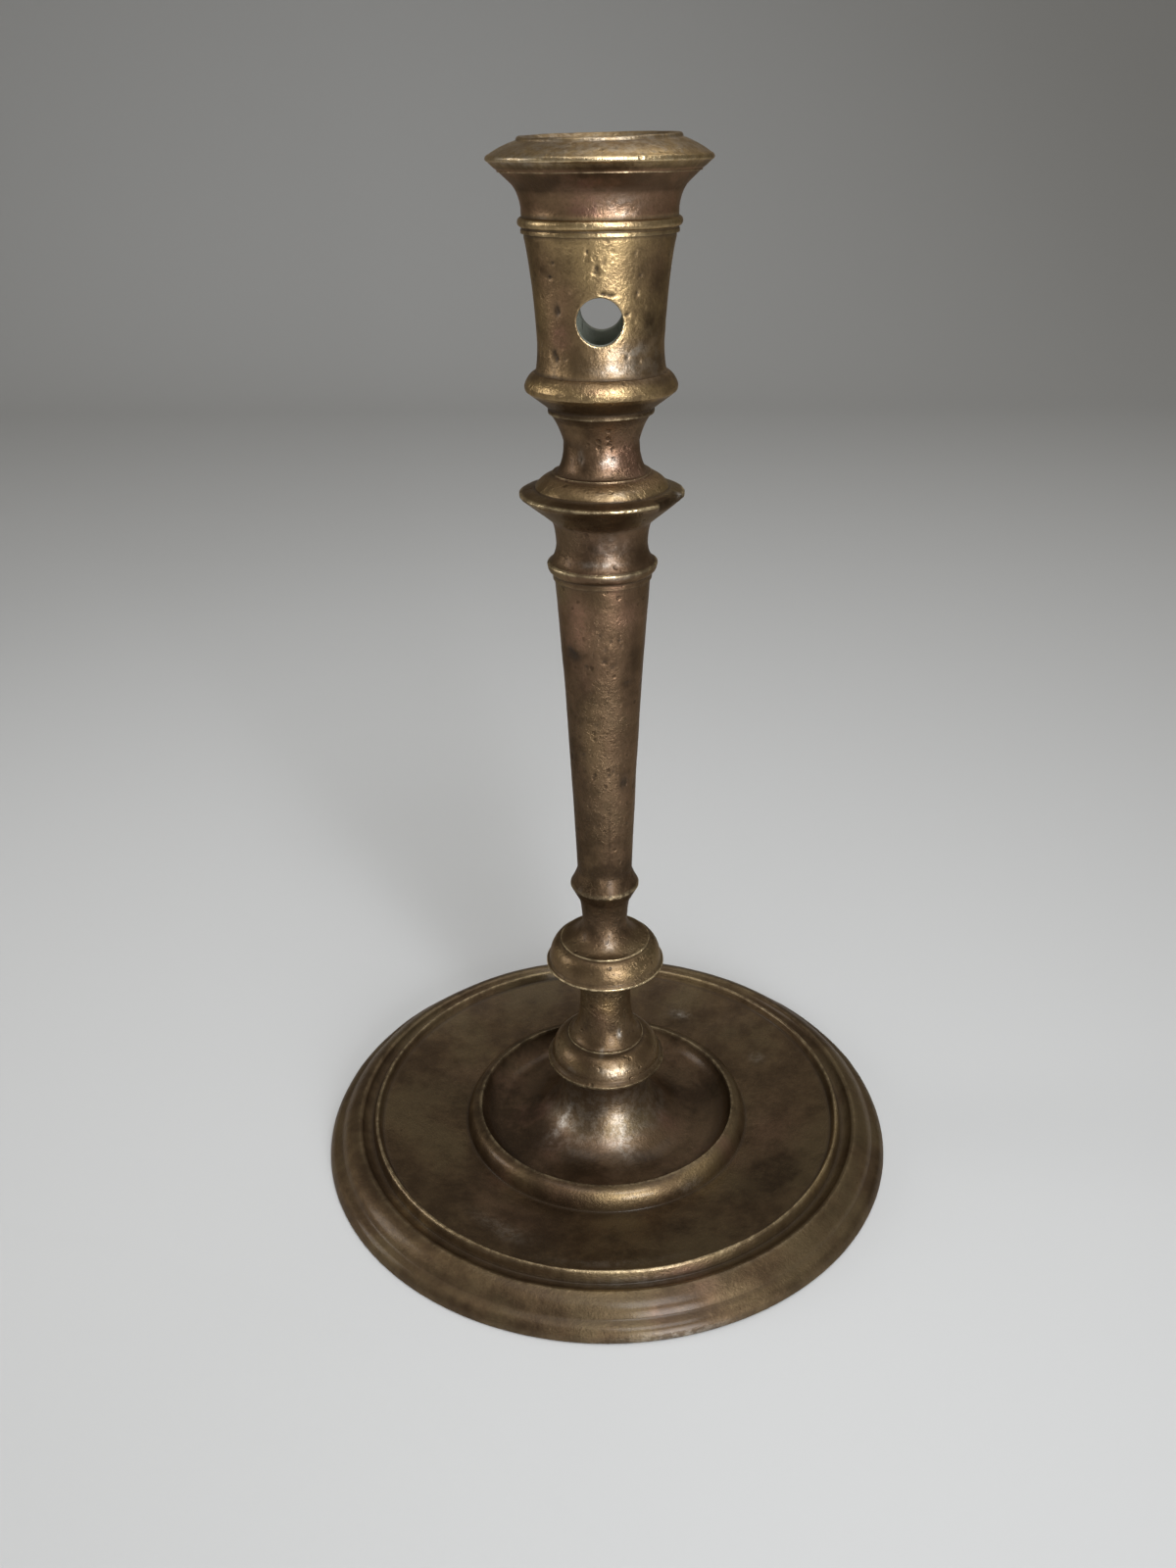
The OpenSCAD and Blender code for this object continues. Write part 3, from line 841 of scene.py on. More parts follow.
@dataclass(frozen=True)
class Chip:
    """The broken place on the flange's edge at the front right, between two azimuths in degrees."""

    start: float = 43.0
    end: float = 78.0
    depth: float = 1.25
    flange_r: float = Flange.flange_r
    low_z: float = 184.5
    top_z: float = 190.0
    root_r: float = 16.0
    edge_z: float = 187.0
    edge_h: float = 1.2
    edge_in_r: float = 16.8

    def move(self, co: Vector, normal: Vector) -> Vector:
        """Takes a point of the edge inwards to the ragged line of the break."""
        radius = radius_of(co)
        if not self.low_z < co.z < self.top_z or radius < self.root_r:
            return Vector()
        angle = math.degrees(azimuth_of(co))
        window = ease(angle, self.start, self.start + 3) * (1 - ease(angle, self.end - 5, self.end))
        ragged = 1 + 0.5 * noise.noise(Vector((angle / 5.0, co.z / 1.2, 2.0)))
        edge_r = self.flange_r - self.depth * window * ragged
        if radius <= edge_r:
            return Vector()
        return Vector((-co.x, -co.y, 0)).normalized() * (radius - edge_r)

    def covers(self, co: Vector) -> bool:
        """Whether a point lies on the broken edge."""
        edge = abs(co.z - self.edge_z) < self.edge_h and radius_of(co) > self.edge_in_r
        return edge and self.start < math.degrees(azimuth_of(co)) < self.end


@dataclass
class Socket:
    """The candle socket: rounded base, body, bead, flared rim, lip and bore."""

    under_h: float = 3.6
    under_w: float = 0.35
    torus_r: float = 17.25
    torus_low_h: float = 1.3
    torus_top_h: float = 2.8
    torus_top_r: float = 15.2
    body_low_h: float = 6.2
    body_r: float = 14.05
    body_h: float = 21.5
    groove_r: float = 16.4
    groove_h: float = 0.9
    thin_ring_r: float = 17.05
    thin_ring_h: float = 0.8
    gap_h: float = 0.4
    gap_w: float = 0.15
    bead_r: float = 17.75
    bead_h: float = 2.0
    rim_neck_r: float = 16.85
    rim_neck_h: float = 1.8
    rim_cove_h: float = 4.7
    rim_cove_r: float = 18.8
    rim_flare_h: float = 3.1
    rim_root_r: float = 22.3
    rim_under_h: float = 1.2
    rim_fillet_r: float = 21.2
    rim_fillet_h: float = 0.35
    rim_low_h: float = 2.2
    rim_r: float = 24.0
    nose: float = 0.5
    nose_w: float = 0.7
    bevel_top_z: float = 261.0
    mouth_r: float = 17.4
    mouth_h: float = 0.8
    mouth_w: float = 1.2
    funnel_h: float = 3.4
    bore_r: float = 11.0
    bore_floor_h: float = 3.6

    def trace(self, line: Outline, ledge: float) -> None:
        """Adds these mouldings and the bore to the stem's section."""
        line.slope(self.torus_r - self.under_w, self.under_h)
        bore_z = line.height + self.bore_floor_h
        line.across_up(self.torus_r, self.torus_low_h, Fullness.FULL)
        line.up_across(self.torus_top_r, self.torus_top_h, Fullness.BODY)
        line.flat(self.torus_top_r - ledge)
        line.across_up(self.body_r, self.body_low_h, Fullness.ROUND)
        line.up_across(self.groove_r, self.body_h, Fullness.BODY, 20)
        line.up(self.groove_h)
        line.flat(self.thin_ring_r)
        line.up(self.thin_ring_h)
        line.flat(self.thin_ring_r - self.gap_w)
        line.up(self.gap_h)
        line.across_up(self.bead_r, self.bead_h / 2, Fullness.FULL, 6)
        line.up_across(self.rim_neck_r, self.bead_h / 2, Fullness.FULL, 6)
        line.up(self.rim_neck_h)
        line.up_across(self.rim_cove_r, self.rim_cove_h, Fullness.SOFT)
        line.slope(self.rim_fillet_r, self.rim_low_h)
        line.flat(self.rim_fillet_r + ledge)
        line.up(self.rim_fillet_h)
        line.slope(self.rim_root_r, self.rim_flare_h - self.rim_low_h - self.rim_fillet_h)
        line.slope(self.rim_r - self.nose, self.rim_under_h - 0.15)
        line.across_up(self.rim_r, self.nose + 0.05, Fullness.ROUND)
        line.up_across(self.rim_r - self.nose_w, self.nose_w + 0.1, Fullness.ROUND)
        line.up_across(self.mouth_r, self.bevel_top_z - line.height, Fullness.FLAT)
        line.up_across(self.mouth_r - self.mouth_w / 2, self.mouth_h, Fullness.FULL)
        line.flat(self.mouth_r - self.mouth_w)
        line.slope(self.bore_r, -self.funnel_h)
        line.to(self.bore_r, bore_z)
        line.to(0.0, bore_z)


@dataclass
class Stem:
    """The cast stem, in one piece from its seat to the socket's lip."""

    base: StemBase = field(default_factory=StemBase)
    knop: LowerKnop = field(default_factory=LowerKnop)
    shaft: Shaft = field(default_factory=Shaft)
    flange: Flange = field(default_factory=Flange)
    socket: Socket = field(default_factory=Socket)
    ledge: float = 0.35
    seat_z: float = 25.2
    spigot_r: float = 6.0
    spigot_h: float = 3.6
    stud_hole_r: float = 3.05
    stud_hole_h: float = 18.0
    hole_r: float = 4.9
    hole_z: float = 226.2
    hole_bevel: float = 0.42
    hole_clear_out: float = 1.2
    hole_clear_in: float = 1.7
    hole_segments: int = 96
    bore_low_z: float = 213.0
    chip: Chip = Chip()
    chip_dark: float = 0.9
    pit_growth: Point = (1.25, 1.2)
    pit_depth: float = 0.38
    segments: int = 160
    fine_step: float = 1.0
    shaft_step: float = 1.9
    bore_step: float = 1.4
    hidden_steps: Point = (5.0, 6.0)
    broad_size: float = 13.0
    broad_dent: float = 0.13
    small_size: float = 3.0
    small_dent: float = 0.04
    neck_dent: float = 0.05
    lip_from_z: float = 257.0
    lip_top_z: float = 261.8
    lip_drop: float = 0.15
    lip_back: float = 0.38
    lip_right: float = 0.24
    lip_wave: float = 0.16
    lip_most: float = 0.25

    def outline(self) -> Outline:
        """The whole section, from the end of the stud's hole round the outside to the bore's floor."""
        line = Outline(0.0, self.seat_z + self.stud_hole_h, 0.9)
        line.flat(self.stud_hole_r)
        line.to(self.stud_hole_r, self.seat_z - self.spigot_h)
        line.flat(self.spigot_r)
        line.up(self.spigot_h)
        for part in (self.base, self.knop, self.shaft, self.flange, self.socket):
            part.trace(line, self.ledge)
        return line

    def _spacing(self, one: Vector, two: Vector) -> float:
        """Longest piece of the section: coarse inside and on the plain shaft, fine elsewhere."""
        middle = (one + two) / 2
        bore_step, seat_step = self.hidden_steps
        if middle.z < self.seat_z or middle.x < 5:
            return seat_step
        if middle.z > self.bore_low_z and middle.x < self.socket.bore_r + 0.1:
            return self.bore_step if abs(middle.z - self.hole_z) < 8 else bore_step
        return self.shaft_step if 92 < middle.z < 163 else self.fine_step

    @cached_property
    def body_skin(self) -> list[tuple[Point, Point]]:
        """The pieces of the section that rise along the socket's outer wall."""
        points = self.outline().points
        pairs = zip(points, points[1:])
        return [(a, b) for a, b in pairs if b[1] > a[1] > self.bore_low_z + 1 and a[0] > self.socket.bore_r]

    def _wall_radius(self, height: float) -> float:
        """Outer radius of the socket's body at a height."""
        for (r0, z0), (r1, z1) in self.body_skin:
            if z0 <= height <= z1:
                return r0 + (r1 - r0) * (height - z0) / (z1 - z0)
        raise ValueError(f"no wall at {height}")

    def _pierce(self, turned: Turned, side: int) -> None:
        """Cuts the round hole through one wall of the socket, with a worn rim.

        Args:
            turned: The stem.
            side: -1 for the front wall, 1 for the back wall.
        """
        bm = turned.bm
        bore = self.socket.bore_r

        def off(co: Vector) -> float:
            """Distance from the hole's axis."""
            return math.hypot(co.x, co.z - self.hole_z)

        def opened(inner: bool) -> list[bmesh.types.BMEdge]:
            """Deletes the faces of one skin over the hole, and gives the edges left open."""
            doomed = []
            clear = self.hole_r + (self.hole_clear_in if inner else self.hole_clear_out)
            for face in bm.faces:
                middle = face.calc_center_median()
                if middle.y * side <= 0 or off(middle) > clear:
                    continue
                skin_in = radius_of(middle) < bore + 0.5
                if skin_in == inner and abs(middle.z - self.hole_z) < clear:
                    doomed.append(face)
            rim = (e for f in doomed for e in f.edges if not all(n in doomed for n in e.link_faces))
            before = list(dict.fromkeys(rim))
            bmesh.ops.delete(bm, geom=doomed, context="FACES")
            return [edge for edge in before if edge.is_valid]

        def place(verts: Sequence[bmesh.types.BMVert], radius: float, depth: float, wall: float) -> None:
            """Sets a ring of vertices round the hole, sunk below the outer skin or raised from the bore."""
            for vert in verts:
                scale = radius / off(vert.co)
                x, dz = vert.co.x * scale, (vert.co.z - self.hole_z) * scale
                skin = wall if wall else self._wall_radius(self.hole_z + dz)
                vert.co = Vector((x, side * (math.sqrt(skin * skin - x * x) - depth), self.hole_z + dz))

        def extend(edges: Sequence[bmesh.types.BMEdge]) -> tuple[list[bmesh.types.BMVert], list[bmesh.types.BMEdge]]:
            """Extrudes a ring of edges, and gives the new ring's vertices and edges."""
            made = bmesh.ops.extrude_edge_only(bm, edges=edges)["geom"]
            verts = [g for g in made if isinstance(g, bmesh.types.BMVert)]
            own = set(verts)
            return verts, [g for g in made if isinstance(g, bmesh.types.BMEdge) and set(g.verts) <= own]

        outer_gap, bore_gap = opened(False), opened(True)
        seat = Matrix.Translation((0, side * self.socket.body_r, self.hole_z)) @ Matrix.Rotation(math.pi / 2, 4, "X")
        circle = {"cap_ends": False, "radius": self.hole_r, "segments": self.hole_segments, "matrix": seat}
        verts = bmesh.ops.create_circle(bm, **circle)["verts"]
        ring = list(dict.fromkeys(edge for vert in verts for edge in vert.link_edges))
        place(verts, self.hole_r + self.hole_bevel, 0.0, 0.0)
        bmesh.ops.bridge_loops(bm, edges=outer_gap + ring)
        wear, inner_layer = turned.layers[Tone.WEAR], turned.layers[Tone.INNER]
        # From the outer skin inwards; a wall of 0 is the outer skin, and a depth below 0 lies outside the bore.
        for radius, depth, wall, worn, inner in (
            (self.hole_r + 0.20, 0.04, 0.0, 1.0, 0.0),
            (self.hole_r + 0.05, 0.14, 0.0, 1.0, 0.0),
            (self.hole_r, 0.40, 0.0, 0.3, 0.6),
            (self.hole_r, 1.40, 0.0, 0.0, 1.0),
            (self.hole_r, -1.20, bore, 0.0, 1.0),
            (self.hole_r, -0.30, bore, 0.0, 1.0),
            (self.hole_r + 0.25, 0.0, bore, 0.0, 1.0),
        ):
            verts, ring = extend(ring)
            place(verts, radius, depth, wall)
            for vert in verts:
                # The hole's worn rim is painted brighter towards its right and its bottom: a painted highlight on the
                # side the light reaches.
                lit = ease((vert.co.x - vert.co.z + self.hole_z) / radius, -0.6, 1.0)
                vert[wear], vert[inner_layer] = worn * (0.2 + 0.8 * lit), inner
        bmesh.ops.bridge_loops(bm, edges=bore_gap + ring)

    def _uneven(self, co: Vector, normal: Vector) -> Vector:
        """The unevenness of an old casting, and the lip that stands higher at the back and right."""
        outside = ease(co.z, self.seat_z + 0.3, self.seat_z + 3) * (0.0 if self._in_bore(co) else 1.0)
        broad = noise.noise(co / self.broad_size + Vector((3, 8, 2))) * self.broad_dent
        neck = ease(co.z, 165.0, 172.0) * (1 - ease(co.z, 204.0, 209.0))
        small = noise.noise(co / self.small_size) * (self.small_dent + self.neck_dent * neck)
        step = normal * (broad + small) * outside
        if co.z > self.lip_from_z and radius_of(co) > self.socket.bore_r + 0.3:
            angle = azimuth_of(co)
            tilt = self.lip_right * math.sin(angle) - self.lip_back * math.cos(angle) - self.lip_drop
            tilt += self.lip_wave * noise.noise(Vector((math.cos(angle) * 1.7, math.sin(angle) * 1.7, 5.0)))
            step.z += min(tilt, self.lip_most) * ease(co.z, self.lip_from_z + 0.5, self.lip_top_z - 0.2)
        return step

    def _in_bore(self, co: Vector) -> bool:
        """Whether a point lies on the bore or on the stud's hole."""
        radius = radius_of(co)
        return radius < 6 or (co.z > self.bore_low_z and radius < self.socket.bore_r + 0.2)

    def build(self) -> Turned:
        """Turns the stem, pierces its socket, and gives it its wear, pits, broken place and marks, painted highlights
        and shade among them.
        """
        turned = Turned(self.outline(), Along.HEIGHT, self.segments, self._spacing, False, STEM_WEAR)
        inner = turned.layers[Tone.INNER]
        for vert in turned.bm.verts:
            if vert.co.z > self.bore_low_z and radius_of(vert.co) < self.socket.bore_r + 0.3:
                vert[inner] = 1.0
        for side in (-1, 1):
            self._pierce(turned, side)
        turned.move(self._uneven)
        turned.move(self.chip.move)
        dark, wear = turned.layers[Tone.DARK], turned.layers[Tone.WEAR]
        for vert in turned.bm.verts:
            if self.chip.covers(vert.co):
                vert[dark], vert[wear] = self.chip_dark, 0.0
        wide, long = self.pit_growth
        pits = [replace(pit, across=wide * pit.across, along=long * pit.along) for pit in STEM_PITS]
        pits += scattered_pits()
        turned.refine(pits)
        turned.index()
        turned.sink(pits, self.pit_depth)
        for tone, bands in STEM_BANDS.items():
            turned.ring(tone, bands)
        for tone, marks in STEM_MARKS.items():
            turned.paint(tone, marks)
        return turned


# Casting pits seen at the front: azimuth, height, half width and half height, and strength.
STEM_PITS = [
    # The socket's body.
    Mark(-9, 240.1, 0.26, 0.46, 1), Mark(-2, 236.9, 0.41, 0.69, 1), Mark(-3, 236, 0.48, 0.29, 0.8),
    Mark(3, 238, 0.26, 0.38, 0.8), Mark(-39, 237.8, 0.38, 0.32, 0.9), Mark(-44, 234.9, 0.48, 0.32, 0.9),
    Mark(-39, 228.4, 0.83, 1.1, 1), Mark(-24, 232, 0.26, 0.32, 0.7), Mark(-45, 219.4, 0.63, 0.82, 1),
    Mark(-42, 218.4, 0.53, 0.61, 0.9), Mark(-32, 218.5, 0.61, 0.28, 0.6), Mark(3, 231.9, 0.6, 0.24, 1),
    Mark(9, 231.6, 0.75, 0.26, 1), Mark(28, 239.8, 0.33, 0.39, 0.8), Mark(34, 235.3, 0.51, 0.39, 0.6),
    Mark(32, 231.8, 0.31, 0.51, 0.8), Mark(24, 227.7, 0.45, 0.32, 0.8), Mark(24, 218.9, 0.3, 0.32, 0.8),
    Mark(36, 217.9, 0.35, 0.32, 0.8), Mark(41, 228.7, 0.28, 0.2, 0.6),
    # The rim, the socket's base and the neck.
    Mark(23, 258.3, 0.4, 0.35, 0.7), Mark(2, 258.6, 0.21, 0.29, 0.6), Mark(-30, 211.5, 0.5, 0.21, 0.6),
    Mark(-31, 196.1, 0.42, 0.75, 0.8), Mark(-2, 198, 0.33, 0.25, 0.5),
    # The shaft: the large ones first, then the strings of small ones.
    Mark(-44, 149.3, 1.5, 0.92, 1), Mark(-49, 150.3, 0.98, 0.8, 0.8), Mark(-23, 147, 0.48, 0.42, 0.8),
    Mark(-11, 131.5, 0.59, 0.38, 1), Mark(38, 142.4, 0.95, 0.32, 0.7), Mark(39, 115, 1, 1.3, 0.8),
    Mark(-3, 155.2, 0.51, 0.35, 0.7), Mark(-17, 139.9, 0.35, 0.32, 0.6), Mark(23, 153.9, 0.31, 0.36, 0.7),
    Mark(3, 148.9, 0.6, 0.33, 0.7), Mark(-13, 150.1, 0.29, 0.31, 0.6), Mark(14, 147.2, 0.48, 0.34, 0.6),
    Mark(-34, 123, 0.5, 0.39, 0.5), Mark(-28, 109.8, 0.41, 0.4, 0.6), Mark(11, 153.8, 0.3, 0.25, 0.8),
    Mark(4, 151.6, 0.35, 0.25, 0.8), Mark(26, 152.6, 0.3, 0.25, 0.7), Mark(20, 148.3, 0.3, 0.3, 0.7),
    Mark(2, 142.9, 0.35, 0.25, 0.7), Mark(8, 141.2, 0.3, 0.3, 0.6), Mark(-15, 117.9, 0.3, 0.25, 0.7),
    Mark(-6, 118.3, 0.3, 0.25, 0.6), Mark(10, 117.8, 0.35, 0.3, 0.8), Mark(17, 118.6, 0.3, 0.25, 0.7),
    Mark(24, 117.9, 0.3, 0.3, 0.6),
]

# Edges worn bright all round, by height on the stem and by radius on the foot.
STEM_WEAR = (
    Band(256.2, 258.4, 0.5, 0.4), Band(244.4, 246.0, 0.45, 0.3), Band(242.8, 243.8, 0.25, 0.2),
    Band(205.3, 205.9, 0.35, 0.2), Band(187.1, 187.5, 0.9, 0.1), Band(191.6, 192.1, 0.25, 0.2),
    Band(254.7, 255.3, 0.5, 0.2), Band(169.9, 170.7, 0.8, 0.2), Band(81.6, 82.6, 0.7, 0.3),
    Band(64.4, 65.2, 0.5, 0.3), Band(57.5, 58.4, 0.9, 0.3), Band(32.8, 33.5, 0.5, 0.3), Band(25.2, 25.7, 0.2, 0.2),
)
FOOT_WEAR = (
    Band(65.2, 67.0, 0.42, 0.4), Band(35.6, 37.0, 0.22, 0.5), Band(71.0, 71.8, 0.3, 0.4), Band(76.0, 77.4, 0.1, 0.4),
    Band(15.4, 16.0, 0.2, 0.2),
)

# Tones all round the stem, by height.
STEM_BANDS = {
    # Painted shade under the rim's nose, the torus, the flange and the knop's edge, and darker towards the bottom of
    # the shaft; the other bands darken the skin there.
    Tone.DARK: (
        Band(251.5, 254.4, 0.7), Band(255.5, 256.6, 0.75, 0.3), Band(204.5, 209.0, 0.6), Band(213.9, 218.0, 0.22),
        Band(183.4, 185.2, 0.5, 1.0), Band(171.2, 182.5, 0.42), Band(191.5, 204.0, 0.15),
        Band(69.0, 150.0, 0.35, 3.0), Band(69.0, 90.0, 0.4, 3.0), Band(78.0, 100.0, 0.25, 8.0),
        Band(51.0, 57.0, 0.5, 2.5), Band(36.0, 50.0, 0.25, 3.0), Band(25.3, 26.6, 0.5, 0.4),
    ),
    Tone.COPPER: (
        Band(247.5, 255.0, 0.75), Band(190.5, 205.0, 0.2), Band(171.5, 181.0, 0.18), Band(214.0, 222.0, 0.15),
        Band(69.0, 160.0, 0.2, 4.0),
    ),
    Tone.GOLD: (
        # Worn gold; the bands on the rim's nose and the flange's top are also a painted highlight.
        Band(256.4, 258.6, 0.8, 0.5), Band(244.3, 246.0, 0.5, 0.3), Band(209.8, 212.3, 0.5, 0.6),
        Band(188.9, 191.2, 0.45, 0.4), Band(58.4, 63.6, 0.08, 0.4),
    ),
    # Painted highlight on the rim's bevel and nose.
    Tone.PALE_AND_HIGHLIGHT: (Band(258.6, 261.6, 0.4, 0.4), Band(256.4, 258.6, 0.15, 0.4)),
}

# Patches of each tone on the stem, most of them at the front, where they are seen.
STEM_MARKS = {
    Tone.GOLD: (
        # Mark(-48, 257.4) on the rim's left is a painted highlight.
        Mark(18, 233.8, 2.6, 9.7, 0.9), Mark(-48, 257.4, 9, 1, 0.5), Mark(-10, 238.1, 4.2, 4.2, 0.8),
        Mark(-35, 240.2, 3.1, 2.3, 0.6), Mark(-41, 212.9, 7.1, 1.1, 0.7), Mark(26, 212.6, 5.8, 1, 0.8),
        Mark(-23, 189.9, 4.2, 1.7, 0.5), Mark(-34, 202.6, 3.7, 3.5, 0.35), Mark(12, 190.2, 2.6, 1.2, 0.4),
        Mark(-30, 233.8, 2.9, 4.7, 0.5), Mark(-24, 216, 3.3, 1.6, 0.3), Mark(-35, 249.5, 4.2, 2.4, 0.45),
        Mark(1, 46.2, 2.2, 2.6, 0.9), Mark(12, 29.9, 4.5, 1.7, 0.5), Mark(-33, 29.7, 3.4, 1.4, 0.4),
        Mark(24, 61.2, 4.5, 1.3, 0.3), Mark(-28, 158, 2.2, 5, 0.5), Mark(-20, 128, 3, 14, 0.3),
        Mark(-25, 92, 3, 9, 0.35),
    ),
    Tone.COPPER: (
        Mark(12, 249.5, 7.5, 2.9, 1), Mark(24, 249, 6, 3.2, 0.6), Mark(-48, 236, 5, 6, 0.35),
        Mark(-36, 227, 4, 7, 0.45), Mark(-34, 157, 3, 12, 0.25), Mark(-1, 253.2, 3.9, 1.1, 0.5),
        Mark(-37, 223, 2.5, 2.8, 0.9), Mark(-3, 212.4, 2.9, 0.71, 0.6), Mark(53, 249.1, 3.8, 2.9, 0.5),
        Mark(53, 236.7, 3.9, 4.4, 0.4), Mark(41, 197.3, 5.6, 3.8, 0.35), Mark(51, 193.5, 3.9, 3.2, 0.3),
        Mark(11, 194.6, 2.2, 1.7, 0.5), Mark(-28, 159.3, 2.8, 5.5, 0.5), Mark(32, 162.1, 4.2, 6.5, 0.35),
        Mark(-14, 170.3, 4.3, 1.4, 0.4), Mark(15, 167.5, 2.4, 3.6, 0.4), Mark(-56, 151, 2.1, 3.8, 0.4),
        Mark(-26, 142, 1.7, 2.6, 0.35), Mark(7, 176.6, 5.7, 3.3, 0.3), Mark(-12, 43.8, 2.9, 4.5, 0.3),
        Mark(-28, 231.8, 2.4, 2.7, 0.35),
    ),
    # Painted shade on the sides of the socket and the neck, under the rim and the bead, and down the shaft's left; the
    # others are dark patches and a nick.
    Tone.DARK: (
        Mark(-40, 253.2, 4.5, 1.6, 0.7), Mark(-72, 228, 5, 16, 0.4), Mark(68, 228, 6, 16, 0.5),
        Mark(-75, 198, 5, 8, 0.4), Mark(70, 198, 4, 8, 0.4), Mark(-5, 255, 7.9, 1.6, 0.5),
        Mark(6, 241.8, 1.8, 0.23, 0.95), Mark(45, 225.5, 2.5, 3, 0.8), Mark(42, 221.2, 1.8, 1.4, 0.5),
        Mark(53, 234.1, 2.7, 5.6, 0.45), Mark(-24, 238, 0.9, 0.77, 0.4), Mark(8, 259.4, 3.1, 1.4, 0.35),
        Mark(-52, 236.5, 1.1, 1, 0.7), Mark(35, 234.9, 0.77, 1.6, 0.5), Mark(-17, 245.9, 2.9, 0.4, 0.3),
        Mark(-48, 104.9, 3.2, 2.7, 0.75), Mark(-11, 104.5, 2.1, 1.7, 0.55), Mark(-44, 149.3, 1.8, 1.6, 0.8),
        Mark(39, 115, 1.4, 2.3, 0.8), Mark(-8, 157.7, 2.8, 1, 0.4), Mark(-24, 132.9, 9.3, 1.1, 0.15),
        Mark(-19, 202.9, 1.9, 2.2, 0.5), Mark(-24, 194.5, 0.97, 1.5, 0.7), Mark(-8, 170.4, 0.5, 0.5, 0.9),
        Mark(-50, 248.5, 7, 4, 0.4), Mark(-56, 236, 6, 8, 0.35), Mark(-64, 118, 6, 34, 0.6),
        Mark(-13, 176.6, 1.9, 2.4, 0.45), Mark(11, 101, 0.31, 7.6, 0.7), Mark(46, 148.9, 1.9, 5.8, 0.4),
        Mark(38, 142.4, 1.6, 0.79, 0.6), Mark(50, 139.9, 2.6, 0.54, 0.6), Mark(-23, 147, 1.1, 0.78, 0.5),
        Mark(15, 39.1, 1.4, 1.5, 0.95), Mark(-46, 39.5, 2.1, 2.9, 0.5), Mark(-18, 32.3, 1.7, 0.84, 0.5),
        Mark(23, 60.3, 5.8, 0.53, 0.2),
    ),
    Tone.PALE_AND_HIGHLIGHT: (
        # Mostly painted highlights and glints: on the rim's left, the socket's body, the flange's top, the upper ring's
        # edge, the chip and the foot of the stem.
        Mark(17, 247.1, 2.3, 0.37, 0.6), Mark(13, 216.5, 5.3, 1, 0.35), Mark(48, 218, 7, 5, 0.16),
        Mark(-48, 257.6, 12, 1.2, 0.7), Mark(-3, 243.8, 5.3, 0.22, 0.5), Mark(32, 220.2, 2.3, 1.2, 0.4),
        Mark(17, 218.5, 4.5, 3, 0.2), Mark(14, 249.2, 5, 1.6, 0.3), Mark(14, 189.8, 4.5, 0.8, 0.5),
        Mark(19, 170.4, 3.4, 0.5, 0.7), Mark(10, 29.4, 4.2, 1.6, 0.5), Mark(-38, 28.2, 1.4, 0.8, 0.4),
        Mark(12, 195.8, 1.8, 1.3, 0.8), Mark(-31, 196.7, 0.79, 1.3, 0.6), Mark(13, 176.6, 3.3, 2.8, 0.25),
        Mark(-2, 172.7, 4.6, 0.67, 0.45), Mark(76, 187.6, 1.2, 0.7, 0.9), Mark(60, 186.4, 5, 0.4, 0.35),
        Mark(29, 37, 0.62, 1.4, 0.9), Mark(-5, 33.4, 0.55, 1.1, 0.6), Mark(9, 67, 1.6, 1.6, 0.4),
    ),
}

